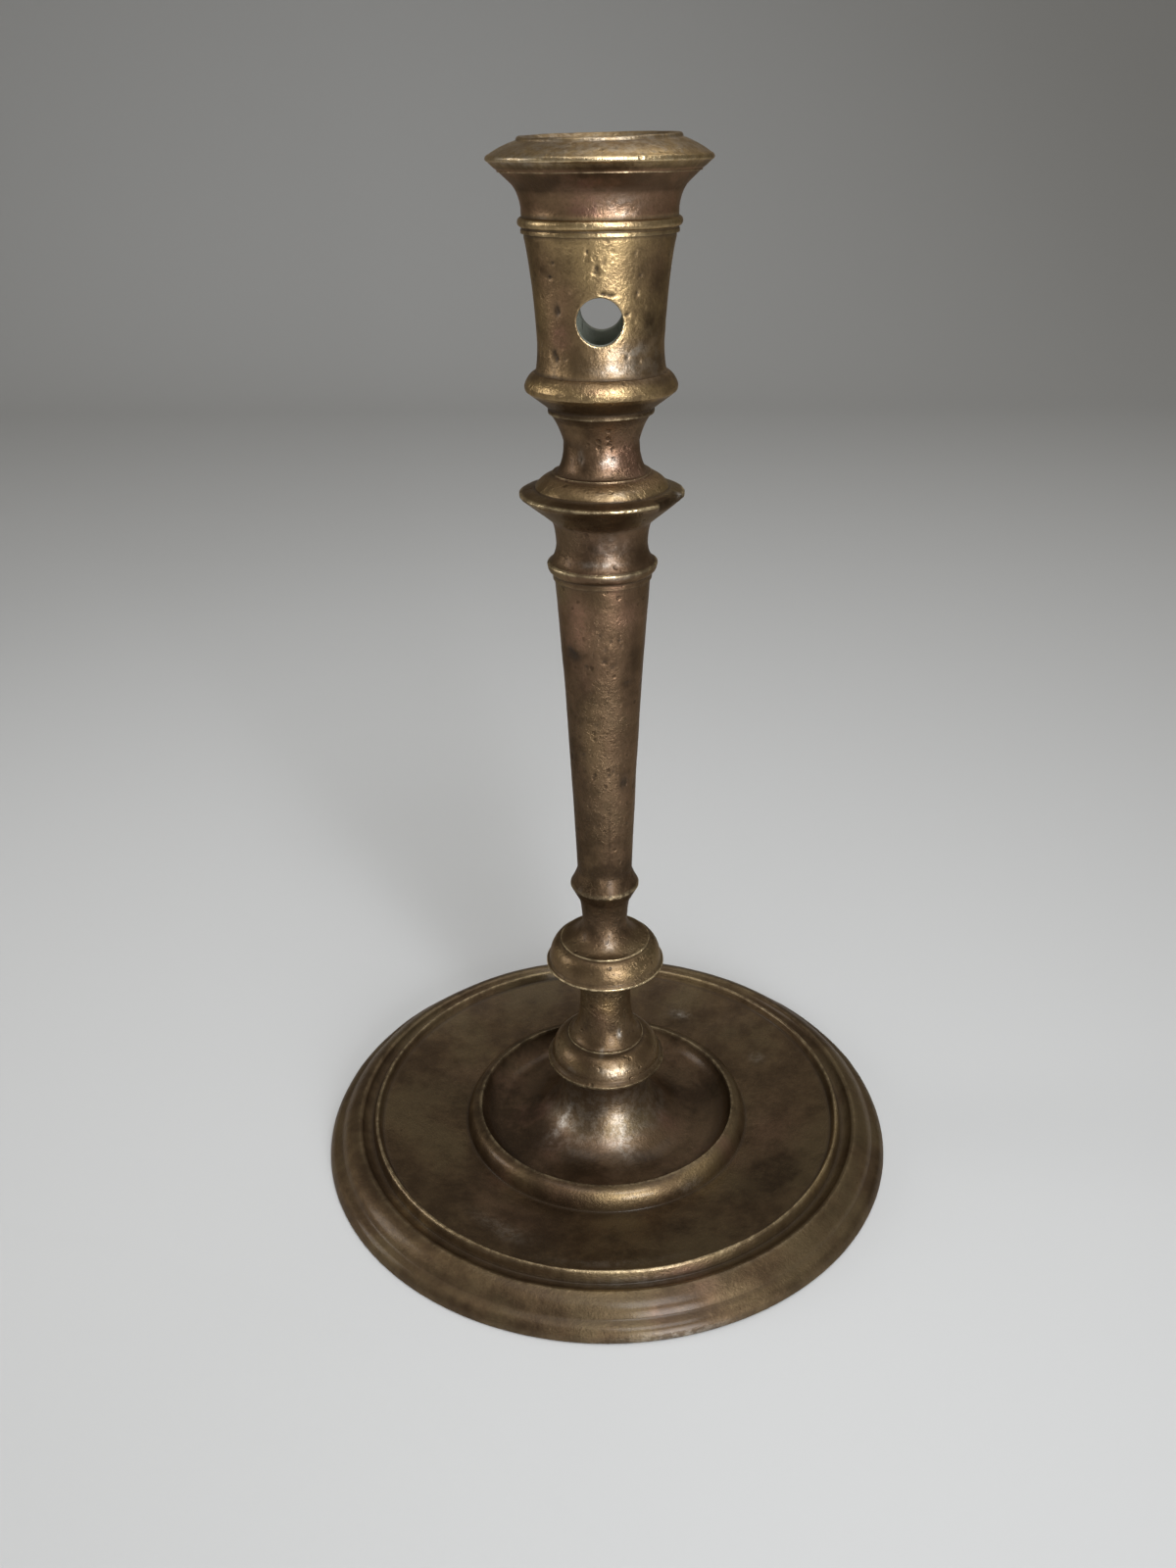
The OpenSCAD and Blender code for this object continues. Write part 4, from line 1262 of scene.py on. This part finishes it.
# The same two lists for the foot, by radius.
FOOT_BANDS = {
    # Painted shade in the well round the bell, on the pan, in the cove under the lip and on the skirt and its edge; the
    # band at the inner ring darkens it.
    Tone.DARK: (
        Band(21.0, 35.5, 0.62, 5.0), Band(36.0, 40.0, 0.2, 1.0), Band(40.5, 63.5, 0.4, 2.0),
        Band(67.5, 70.5, 0.35, 0.6), Band(71.5, 78.0, 0.3, 1.0), Band(78.8, 80.2, 0.6, 0.6),
    ),
    Tone.COPPER: (Band(18.0, 34.0, 0.2, 3.0),),
    Tone.GOLD: (Band(37.0, 39.5, 0.1, 1.0),),
    # Painted highlight: the bell's upper wall is lightened all round.
    Tone.PALE_AND_HIGHLIGHT: (Band(11.0, 16.0, 0.15, 3.0),),
}
FOOT_MARKS = {
    Tone.GOLD: (
        Mark(-50, 67.3, 2.2, 2.6, 0.9), Mark(-45, 67.9, 3.1, 2.8, 0.7), Mark(75, 65.7, 14, 1.2, 0.7),
        Mark(58, 66.6, 7.9, 1.2, 0.6), Mark(-1, 39.2, 16, 1.3, 0.3), Mark(43, 38.4, 6.8, 6.2, 0.4),
        Mark(-54, 67.2, 3.1, 2.5, 0.5), Mark(1, 71.4, 14, 1.2, 0.3), Mark(-30, 71.3, 6.2, 3, 0.2),
        Mark(-34, 13.9, 4.3, 3.3, 0.3), Mark(157, 65.7, 9.5, 2.6, 0.4),
    ),
    Tone.COPPER: (
        Mark(70, 18, 3.2, 5.2, 0.4), Mark(-84, 20.6, 3.7, 6.6, 0.8), Mark(19, 72.9, 5.4, 5.1, 0.3),
        Mark(16, 67.2, 7.4, 1.8, 0.4), Mark(-18, 39.1, 5.5, 3, 0.5), Mark(11, 76.1, 3.4, 2.2, 0.6),
        Mark(-46, 22.4, 5.6, 5.1, 0.4), Mark(-46, 40.3, 4.5, 5.5, 0.35), Mark(60, 37.8, 3.2, 8.5, 0.4),
        Mark(-110, 37.4, 6.1, 14, 0.25), Mark(-30, 50, 14, 6, 0.3), Mark(80, 48, 12, 8, 0.3),
    ),
    # Painted shade on the well's left and right, on the pan's left and on the skirt's front; the others are dark
    # patches.
    Tone.DARK: (
        Mark(56, 52.6, 11, 7.3, 0.8), Mark(64, 55, 5.4, 4.9, 0.6), Mark(2, 51, 2.3, 1.6, 0.8),
        Mark(-9, 47.8, 1.8, 1.6, 0.6), Mark(8, 57.8, 7.5, 2.3, 0.4), Mark(-104, 23.8, 7.6, 11, 0.6),
        Mark(104, 25.9, 8.7, 12, 0.5), Mark(8, 23.3, 14, 3.5, 0.5), Mark(9, 20.6, 3.6, 1.7, 0.6),
        Mark(24, 51.4, 7.6, 3.9, 0.4), Mark(-61, 31.3, 5.4, 8.8, 0.5), Mark(-84, 30, 9, 9, 0.4),
        Mark(-103, 54.6, 12, 17, 0.2), Mark(152, 49.2, 6.3, 4.5, 0.4), Mark(127, 54.2, 9.2, 7.1, 0.2),
        Mark(-49, 52, 6.6, 3.2, 0.3), Mark(-6, 41.9, 17, 1.8, 0.45), Mark(4, 75, 34, 4.5, 0.6),
        Mark(-95, 50, 18, 12, 0.25),
    ),
    Tone.PALE_AND_HIGHLIGHT: (
        # Mostly painted highlights: down the bell under the collar, on the crown's left, on the lip and along the
        # skirt's edge.
        Mark(-30, 55, 8, 2, 0.2), Mark(-25, 57, 4, 2, 0.15), Mark(13, 80, 12, 0.85, 0.5),
        Mark(-113, 14.8, 9.2, 5.5, 0.8), Mark(-60, 13.2, 1.7, 3.4, 0.5), Mark(2, 61.1, 14, 0.79, 0.3),
        Mark(8, 67.4, 14, 1.3, 0.35), Mark(153, 51.5, 2.5, 1.4, 0.6), Mark(16, 16.2, 3.2, 6, 0.4),
        Mark(-50, 15.9, 1.3, 5, 0.6), Mark(-38, 17, 7, 6, 0.15), Mark(117, 51.7, 1.8, 1.8, 0.3),
        Mark(36, 40, 3.5, 1.4, 0.25),
    ),
}


def scattered_pits() -> list[Mark]:
    """Casting pits all round the stem, the same on each run."""
    dice = random.Random(7)
    pits = []
    for count, low, high in ((26, 218.0, 241.0), (40, 92.0, 165.0), (10, 190.0, 205.0), (10, 256.9, 260.5)):
        for _ in range(count):
            place = Mark(dice.uniform(60, 300), dice.uniform(low, high), dice.uniform(0.3, 0.7), dice.uniform(0.3, 0.8))
            pits.append(replace(place, strength=dice.uniform(0.3, 1.0)))
    return pits


class Sock:
    """A shader socket that takes part in written sums."""

    def __init__(self, sheet: "Sheet", socket: bpy.types.NodeSocket) -> None:
        """Wraps an output socket of a sheet."""
        self.sheet = sheet
        self.socket = socket

    def __add__(self, other: "Value") -> "Sock":
        """Sum."""
        return self.sheet.math("ADD", self, other)

    def __sub__(self, other: "Value") -> "Sock":
        """Difference."""
        return self.sheet.math("SUBTRACT", self, other)

    def __rsub__(self, other: "Value") -> "Sock":
        """Difference with the socket on the right."""
        return self.sheet.math("SUBTRACT", other, self)

    def __mul__(self, other: "Value") -> "Sock":
        """Product."""
        return self.sheet.math("MULTIPLY", self, other)

    __radd__ = __add__
    __rmul__ = __mul__


Value = float | Sock


class Sheet:
    """The node tree of one material."""

    def __init__(self, name: str) -> None:
        """Starts an empty material."""
        self.material = bpy.data.materials.new(name)
        self.material.use_nodes = True
        self.tree = self.material.node_tree
        self.tree.nodes.clear()
        self.place = self.node("ShaderNodeTexCoord", {}, {}, "Object")

    def node(self, kind: str, settings: dict, inputs: dict, output: str | int = 0) -> Sock:
        """Adds a node.

        Args:
            kind: The node's type.
            settings: Its properties, set before its sockets.
            inputs: A value or a socket for each input, by name, identifier or number.
            output: The output wanted.

        Returns:
            The output, ready for more sums.
        """
        made = self.tree.nodes.new(kind)
        for key, value in settings.items():
            setattr(made, key, value)
        for key, value in inputs.items():
            socket = self._input(made, key)
            if isinstance(value, Sock):
                self.tree.links.new(value.socket, socket)
            else:
                socket.default_value = value
        outs = made.outputs
        if isinstance(output, int):
            return Sock(self, outs[output]) if outs else Sock(self, None)
        return Sock(self, next(o for o in outs if output in (o.identifier, o.name)))

    @staticmethod
    def _input(made: bpy.types.Node, key: str | int) -> bpy.types.NodeSocket:
        """The node's input with that number, identifier or name."""
        if isinstance(key, int):
            return made.inputs[key]
        found = [s for s in made.inputs if s.identifier == key] or [s for s in made.inputs if s.name == key]
        return found[0]

    def math(self, operation: str, *values: Value) -> Sock:
        """Adds a Math node."""
        return self.node("ShaderNodeMath", {"operation": operation}, dict(enumerate(values)))

    def clamp(self, value: Value) -> Sock:
        """The value, kept between 0 and 1."""
        return self.node("ShaderNodeClamp", {}, {"Value": value})

    def attribute(self, tone: Tone) -> Sock:
        """A tone's attribute, painted on the mesh."""
        return self.node("ShaderNodeAttribute", {"attribute_name": tone.value}, {}, "Fac")

    def noise(self, scale: float, detail: float = 3.0, rough: float = 0.55, where: Sock | None = None) -> Sock:
        """A noise texture; the scale is in features to the metre."""
        inputs = {"Vector": where or self.place, "Scale": scale, "Detail": detail, "Roughness": rough}
        return self.node("ShaderNodeTexNoise", {}, inputs, "Fac")

    def cells(self, scale: float) -> Sock:
        """Distance from the middles of small cells, as a share of their size."""
        return self.node("ShaderNodeTexVoronoi", {}, {"Vector": self.place, "Scale": scale}, "Distance")

    def step(self, value: Value, low: float, high: float) -> Sock:
        """A smooth step from 0 at low to 1 at high."""
        inputs = {"Value": value, "From Min": low, "From Max": high}
        return self.node("ShaderNodeMapRange", {"interpolation_type": "SMOOTHSTEP"}, inputs, "Result")

    def mix(self, share: Value, one: Sock | Rgb, two: Sock | Rgb, blend: str = "MIX") -> Sock:
        """Mixes two colours."""
        one, two = ((*c, 1.0) if isinstance(c, tuple) else c for c in (one, two))
        inputs = {"Factor_Float": share, "A_Color": one, "B_Color": two}
        return self.node("ShaderNodeMix", {"data_type": "RGBA", "blend_type": blend}, inputs, "Result_Color")

    def scaled(self, vector: Sock, factors: Rgb) -> Sock:
        """A vector, multiplied axis by axis."""
        return self.node("ShaderNodeVectorMath", {"operation": "MULTIPLY"}, {0: vector, 1: factors}, "Vector")

    def turning(self) -> Sock:
        """Radius and height as a vector, for marks left by the lathe."""
        flat = self.scaled(self.place, (1.0, 1.0, 0.0))
        radius = self.node("ShaderNodeVectorMath", {"operation": "LENGTH"}, {0: flat}, "Value")
        return self.node("ShaderNodeCombineXYZ", {}, {0: radius, 2: self.height()})

    def height(self) -> Sock:
        """Height above the ground, in metres."""
        return self.node("ShaderNodeSeparateXYZ", {}, {0: self.place}, "Z")

    def surface(self, inputs: dict) -> bpy.types.Material:
        """Ends the material with its Principled shader.

        Args:
            inputs: Values or sockets for the shader.

        Returns:
            The finished material.
        """
        shader = self.node("ShaderNodeBsdfPrincipled", {}, inputs, "BSDF")
        self.node("ShaderNodeOutputMaterial", {}, {"Surface": shader})
        return self.material


@dataclass(frozen=True)
class Bronze:
    """Old bronze with a brown skin, worn to brass where hands and cloths reach it, with painted highlights and shade
    from its marks.
    """

    name: str
    deep: Rgb = (0.085, 0.053, 0.028)
    brown: Rgb = (0.175, 0.115, 0.060)
    olive: Rgb = (0.148, 0.114, 0.058)
    gold: Rgb = (0.475, 0.330, 0.160)
    copper: Rgb = (0.290, 0.148, 0.105)
    brass: Rgb = (0.780, 0.620, 0.370)
    # Near-black for soot, pits, dirt, dark stains and painted shade.
    soot_and_shade: Rgb = (0.025, 0.015, 0.008)
    inside: Rgb = (0.270, 0.290, 0.245)
    # Colour of pale patches and painted highlights.
    pale: Rgb = (0.440, 0.400, 0.345)
    gold_from: float = 0.206
    gold_to: float = 0.222
    gold_most: float = 0.7
    edge: float = 0.9
    edge_tint: Rgb = (0.62, 0.52, 0.42)
    roughness: float = 0.25
    cast: float = 0.34
    pock: float = 1.0
    coat: float = 0.07

    def material(self) -> bpy.types.Material:
        """Builds the node tree."""
        s = Sheet(self.name)
        wear, grime_and_shade, pit = (s.attribute(t) for t in (Tone.WEAR, Tone.GRIME_AND_SHADE, Tone.PIT))
        gold, copper, dark = (s.attribute(t) for t in (Tone.GOLD, Tone.COPPER, Tone.DARK))
        pale, inner = s.attribute(Tone.PALE_AND_HIGHLIGHT), s.attribute(Tone.INNER)
        broad, mid = s.noise(45.0, 4.0), s.noise(150.0, 5.0, 0.6)
        small, fine = s.noise(520.0, 4.0, 0.62), s.noise(1700.0, 3.0, 0.6)
        rings = s.noise(900.0, 3.0, 0.6, s.turning())
        upper = s.step(s.height(), self.gold_from, self.gold_to)
        rugged = s.step(broad, 0.44, 0.58) * (1.0 - 0.85 * upper)
        pocks = s.step(s.cells(430.0), 0.34, 0.16) * s.step(mid, 0.50, 0.62) * (1.0 - 0.6 * upper)
        crust = s.step(s.noise(680.0, 4.0, 0.65), 0.50, 0.62) * rugged

        skin = s.mix(s.step(0.5 * broad + 0.35 * mid + 0.15 * small, 0.36, 0.64), self.deep, self.brown)
        skin = s.mix(0.5 * s.step(broad, 0.45, 0.65), skin, self.olive)
        high = upper * self.gold_most
        patchy = s.step(0.45 * broad + 0.35 * mid + 0.2 * small, 0.42, 0.58)
        worn_gold = s.clamp(s.clamp(0.8 * high + gold) * (0.45 + 0.8 * patchy))
        skin = s.mix(worn_gold, skin, self.gold)
        skin = s.mix(s.clamp(copper * (0.45 + 0.75 * patchy)) * 0.85, skin, self.copper)
        # Dark stains and painted shade go towards the near-black.
        skin = s.mix(s.clamp(dark * (1.15 - 0.35 * patchy)) * 0.8, skin, self.soot_and_shade)
        # Pale patches and painted highlights.
        skin = s.mix(s.clamp(pale * (0.3 + s.step(small, 0.42, 0.6))) * 0.75, skin, self.pale)
        specks = s.step(small, 0.66, 0.74) * s.step(mid, 0.5, 0.62)
        skin = s.mix(0.5 * s.clamp(specks + self.pock * pocks), skin, self.soot_and_shade)
        skin = s.mix(0.35 * s.step(fine, 0.45, 0.7), skin, self.deep)
        # Dirt and painted shade in the hollows, towards near-black.
        skin = s.mix(s.clamp(grime_and_shade * 1.1) * 0.75, skin, self.soot_and_shade)
        bright = s.clamp(wear * self.edge * (0.25 + 1.1 * s.step(0.6 * small + 0.4 * mid, 0.42, 0.62)))
        skin = s.mix(bright, skin, self.brass)
        skin = s.mix(s.clamp(pit * 1.2) * 0.9, skin, self.soot_and_shade)
        skin = s.mix(inner * 0.95, skin, self.inside)

        rough = self.roughness + 0.14 * mid + 0.12 * fine - 0.12 * bright + 0.2 * grime_and_shade + 0.12 * dark
        rough = s.clamp(rough + 0.3 * pit + 0.25 * inner - 0.05 * worn_gold)
        metal = s.clamp(0.88 + 0.12 * worn_gold + 0.18 * bright - 0.4 * grime_and_shade - 0.6 * pit - 0.85 * inner)
        lumps = 0.36 * small + 0.28 * fine + 0.08 * rings + 0.3 * mid + self.cast * crust - 0.5 * self.pock * pocks
        normal = s.node("ShaderNodeBump", {}, {"Strength": 0.6, "Distance": 0.0005, "Height": lumps})
        return s.surface(
            {
                "Base Color": skin,
                "Metallic": metal,
                "Roughness": rough,
                "Coat Weight": self.coat,
                "Coat Roughness": 0.2,
                "Specular Tint": (*self.edge_tint, 1.0),
                "Normal": normal,
            }
        )


@dataclass(frozen=True)
class Iron:
    """Dark wrought iron of the hidden tie."""

    name: str = "tie_iron"
    light: Rgb = (0.16, 0.14, 0.13)
    deep: Rgb = (0.05, 0.045, 0.04)
    rust: Rgb = (0.17, 0.07, 0.03)

    def material(self) -> bpy.types.Material:
        """Builds the node tree."""
        s = Sheet(self.name)
        coarse, fine = s.noise(300.0, 5.0, 0.65), s.noise(1400.0, 3.0)
        skin = s.mix(s.step(coarse, 0.35, 0.65), self.deep, self.light)
        skin = s.mix(0.7 * s.step(fine, 0.5, 0.7), skin, self.rust)
        normal = s.node("ShaderNodeBump", {}, {"Strength": 0.4, "Distance": 0.0003, "Height": coarse + 0.5 * fine})
        return s.surface({"Base Color": skin, "Metallic": 0.8, "Roughness": 0.45 + 0.3 * coarse, "Normal": normal})


@dataclass(frozen=True)
class Backdrop:
    """The pale floor that rises into a plain pale wall."""

    colour: Rgb = (0.56, 0.56, 0.555)
    front: float = -2.5
    back: float = 1.7
    bend: float = 0.6
    height: float = 0.8
    width: float = 7.0

    def build(self) -> bpy.types.Object:
        """Draws the side view of the sweep and extrudes it."""
        bm = bmesh.new()
        corners = [(self.front, 0.0), (self.back, 0.0), (self.back, self.height)]
        chain = [bm.verts.new((-self.width / 2, y, z)) for y, z in corners]
        for one, two in zip(chain, chain[1:]):
            bm.edges.new((one, two))
        bmesh.ops.bevel(
            bm, geom=[chain[1]], offset=self.bend, offset_type="OFFSET", segments=24,
            profile=0.5, affect="VERTICES", clamp_overlap=True, material=-1,
        )
        made = bmesh.ops.extrude_edge_only(bm, edges=bm.edges[:])["geom"]
        side = [g for g in made if isinstance(g, bmesh.types.BMVert)]
        bmesh.ops.translate(bm, vec=(self.width, 0, 0), verts=side)
        bmesh.ops.recalc_face_normals(bm, faces=bm.faces[:])
        if min(face.normal.z for face in bm.faces) < -0.5:
            bmesh.ops.reverse_faces(bm, faces=bm.faces[:])
        sweep = add_mesh("sweep", bm)
        s = Sheet("sweep_paper")
        sweep.data.materials.append(s.surface({"Base Color": (*self.colour, 1.0), "Roughness": 0.9}))
        return sweep


@dataclass(frozen=True)
class Lamp:
    """A soft panel that faces the candlestick.

    Azimuth is in degrees from the camera's side towards the right, elevation is above the horizon, and a spread under
    180 degrees keeps the beam off the floor near the panel.
    """

    name: str
    azimuth: float
    elevation: float
    distance: float
    width: float
    height: float
    watts: float
    colour: Rgb = (1.0, 1.0, 1.0)
    spread: float = 180.0
    aim_z: float = 0.12

    def build(self) -> bpy.types.Object:
        """Adds the lamp to the scene."""
        a, e = math.radians(self.azimuth), math.radians(self.elevation)
        away = Vector((math.sin(a) * math.cos(e), -math.cos(a) * math.cos(e), math.sin(e)))
        light = bpy.data.lights.new(self.name, "AREA")
        light.shape = "RECTANGLE"
        light.size, light.size_y = self.width, self.height
        light.energy, light.color = self.watts, self.colour
        light.spread = math.radians(self.spread)
        lamp = add_object(self.name, light)
        lamp.location = Vector((0, 0, self.aim_z)) + away * self.distance
        lamp.rotation_euler = (-away).to_track_quat("-Z", "Y").to_euler()
        return lamp


@dataclass(frozen=True)
class Camera:
    """The photograph's camera, found from the edges of the candlestick in it."""

    place: tuple[float, float, float] = (4.56, -305.2, 262.7)
    pitch: float = 26.379
    roll: float = -0.747
    yaw: float = -1.627
    lens: float = 30.345
    sensor: float = 36.0

    def build(self) -> bpy.types.Object:
        """Adds the camera and makes it the scene's."""
        p, r, y = (math.radians(a) for a in (self.pitch, self.roll, self.yaw))
        ahead = Vector((math.sin(y) * math.cos(p), math.cos(y) * math.cos(p), -math.sin(p)))
        level = Vector((math.cos(y), -math.sin(y), 0))
        above = level.cross(ahead)
        right = math.cos(r) * level + math.sin(r) * above
        up = -math.sin(r) * level + math.cos(r) * above
        data = bpy.data.cameras.new("camera")
        data.lens, data.sensor_width, data.sensor_fit = self.lens, self.sensor, "AUTO"
        data.clip_start, data.clip_end = 0.01, 50.0
        camera = add_object("camera", data)
        turn = Matrix((right, up, -ahead)).transposed().to_4x4()
        camera.matrix_world = Matrix.Translation(Vector(self.place) * MM) @ turn
        bpy.context.scene.camera = camera
        return camera


LAMPS = (
    Lamp("window", 22, 8, 0.90, 0.30, 0.45, 1.10, (0.93, 0.96, 1.0), 60),
    Lamp("window_top", 21, 48, 1.00, 0.34, 0.40, 1.5, (0.93, 0.96, 1.0), 90),
    Lamp("side", -90, 18, 0.95, 0.26, 0.46, 0.4, spread=80),
    Lamp("ceiling", 10, 80, 1.30, 1.10, 1.10, 6.0),
    Lamp("back", 155, 58, 1.10, 0.70, 0.40, 1.0),
)
WORLD = (0.185, 0.178, 0.162)
FOOT_FINISH = Bronze("foot_bronze", gold_most=0.0, edge=0.6, roughness=0.29, cast=0.06, pock=0.12, coat=0.2)
STEM_FINISH = Bronze("stem_bronze")


def light_world(colour: Rgb) -> None:
    """Gives the scene an even grey surround of that colour."""
    world = bpy.data.worlds.new("surround")
    world.use_nodes = True
    shade = world.node_tree.nodes["Background"]
    shade.inputs["Color"].default_value = (*colour, 1.0)
    shade.inputs["Strength"].default_value = 1.0
    bpy.context.scene.world = world


def main() -> None:
    """Builds the scene and reports each piece."""
    logging.basicConfig(level=logging.INFO, format="%(name)s: %(message)s")
    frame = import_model()
    Camera().build()
    Backdrop().build()
    light_world(WORLD)
    for lamp in LAMPS:
        lamp.build()
    bpy.context.scene.view_settings.view_transform = "Standard"

    castings = (
        ("foot_casting", Foot().build(), "foot", "foot_bronze", FOOT_FINISH),
        ("stem_casting", Stem().build(), "stem", "stem_bronze", STEM_FINISH),
    )
    for name, turned, node, slot, finish in castings:
        piece = turned.finish(name)
        piece.data.materials.append(finish.material())
        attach(piece, BODY)
        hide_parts(node)
    iron = Iron().material()
    for node in ("tie_stud", "tie_washer", "tie_nut"):
        for slot in frame["nodes"][node].material_slots:
            slot.material = iron
        LOG.info("%s: packed solid, new material", node)


if __name__ == "__main__":
    main()
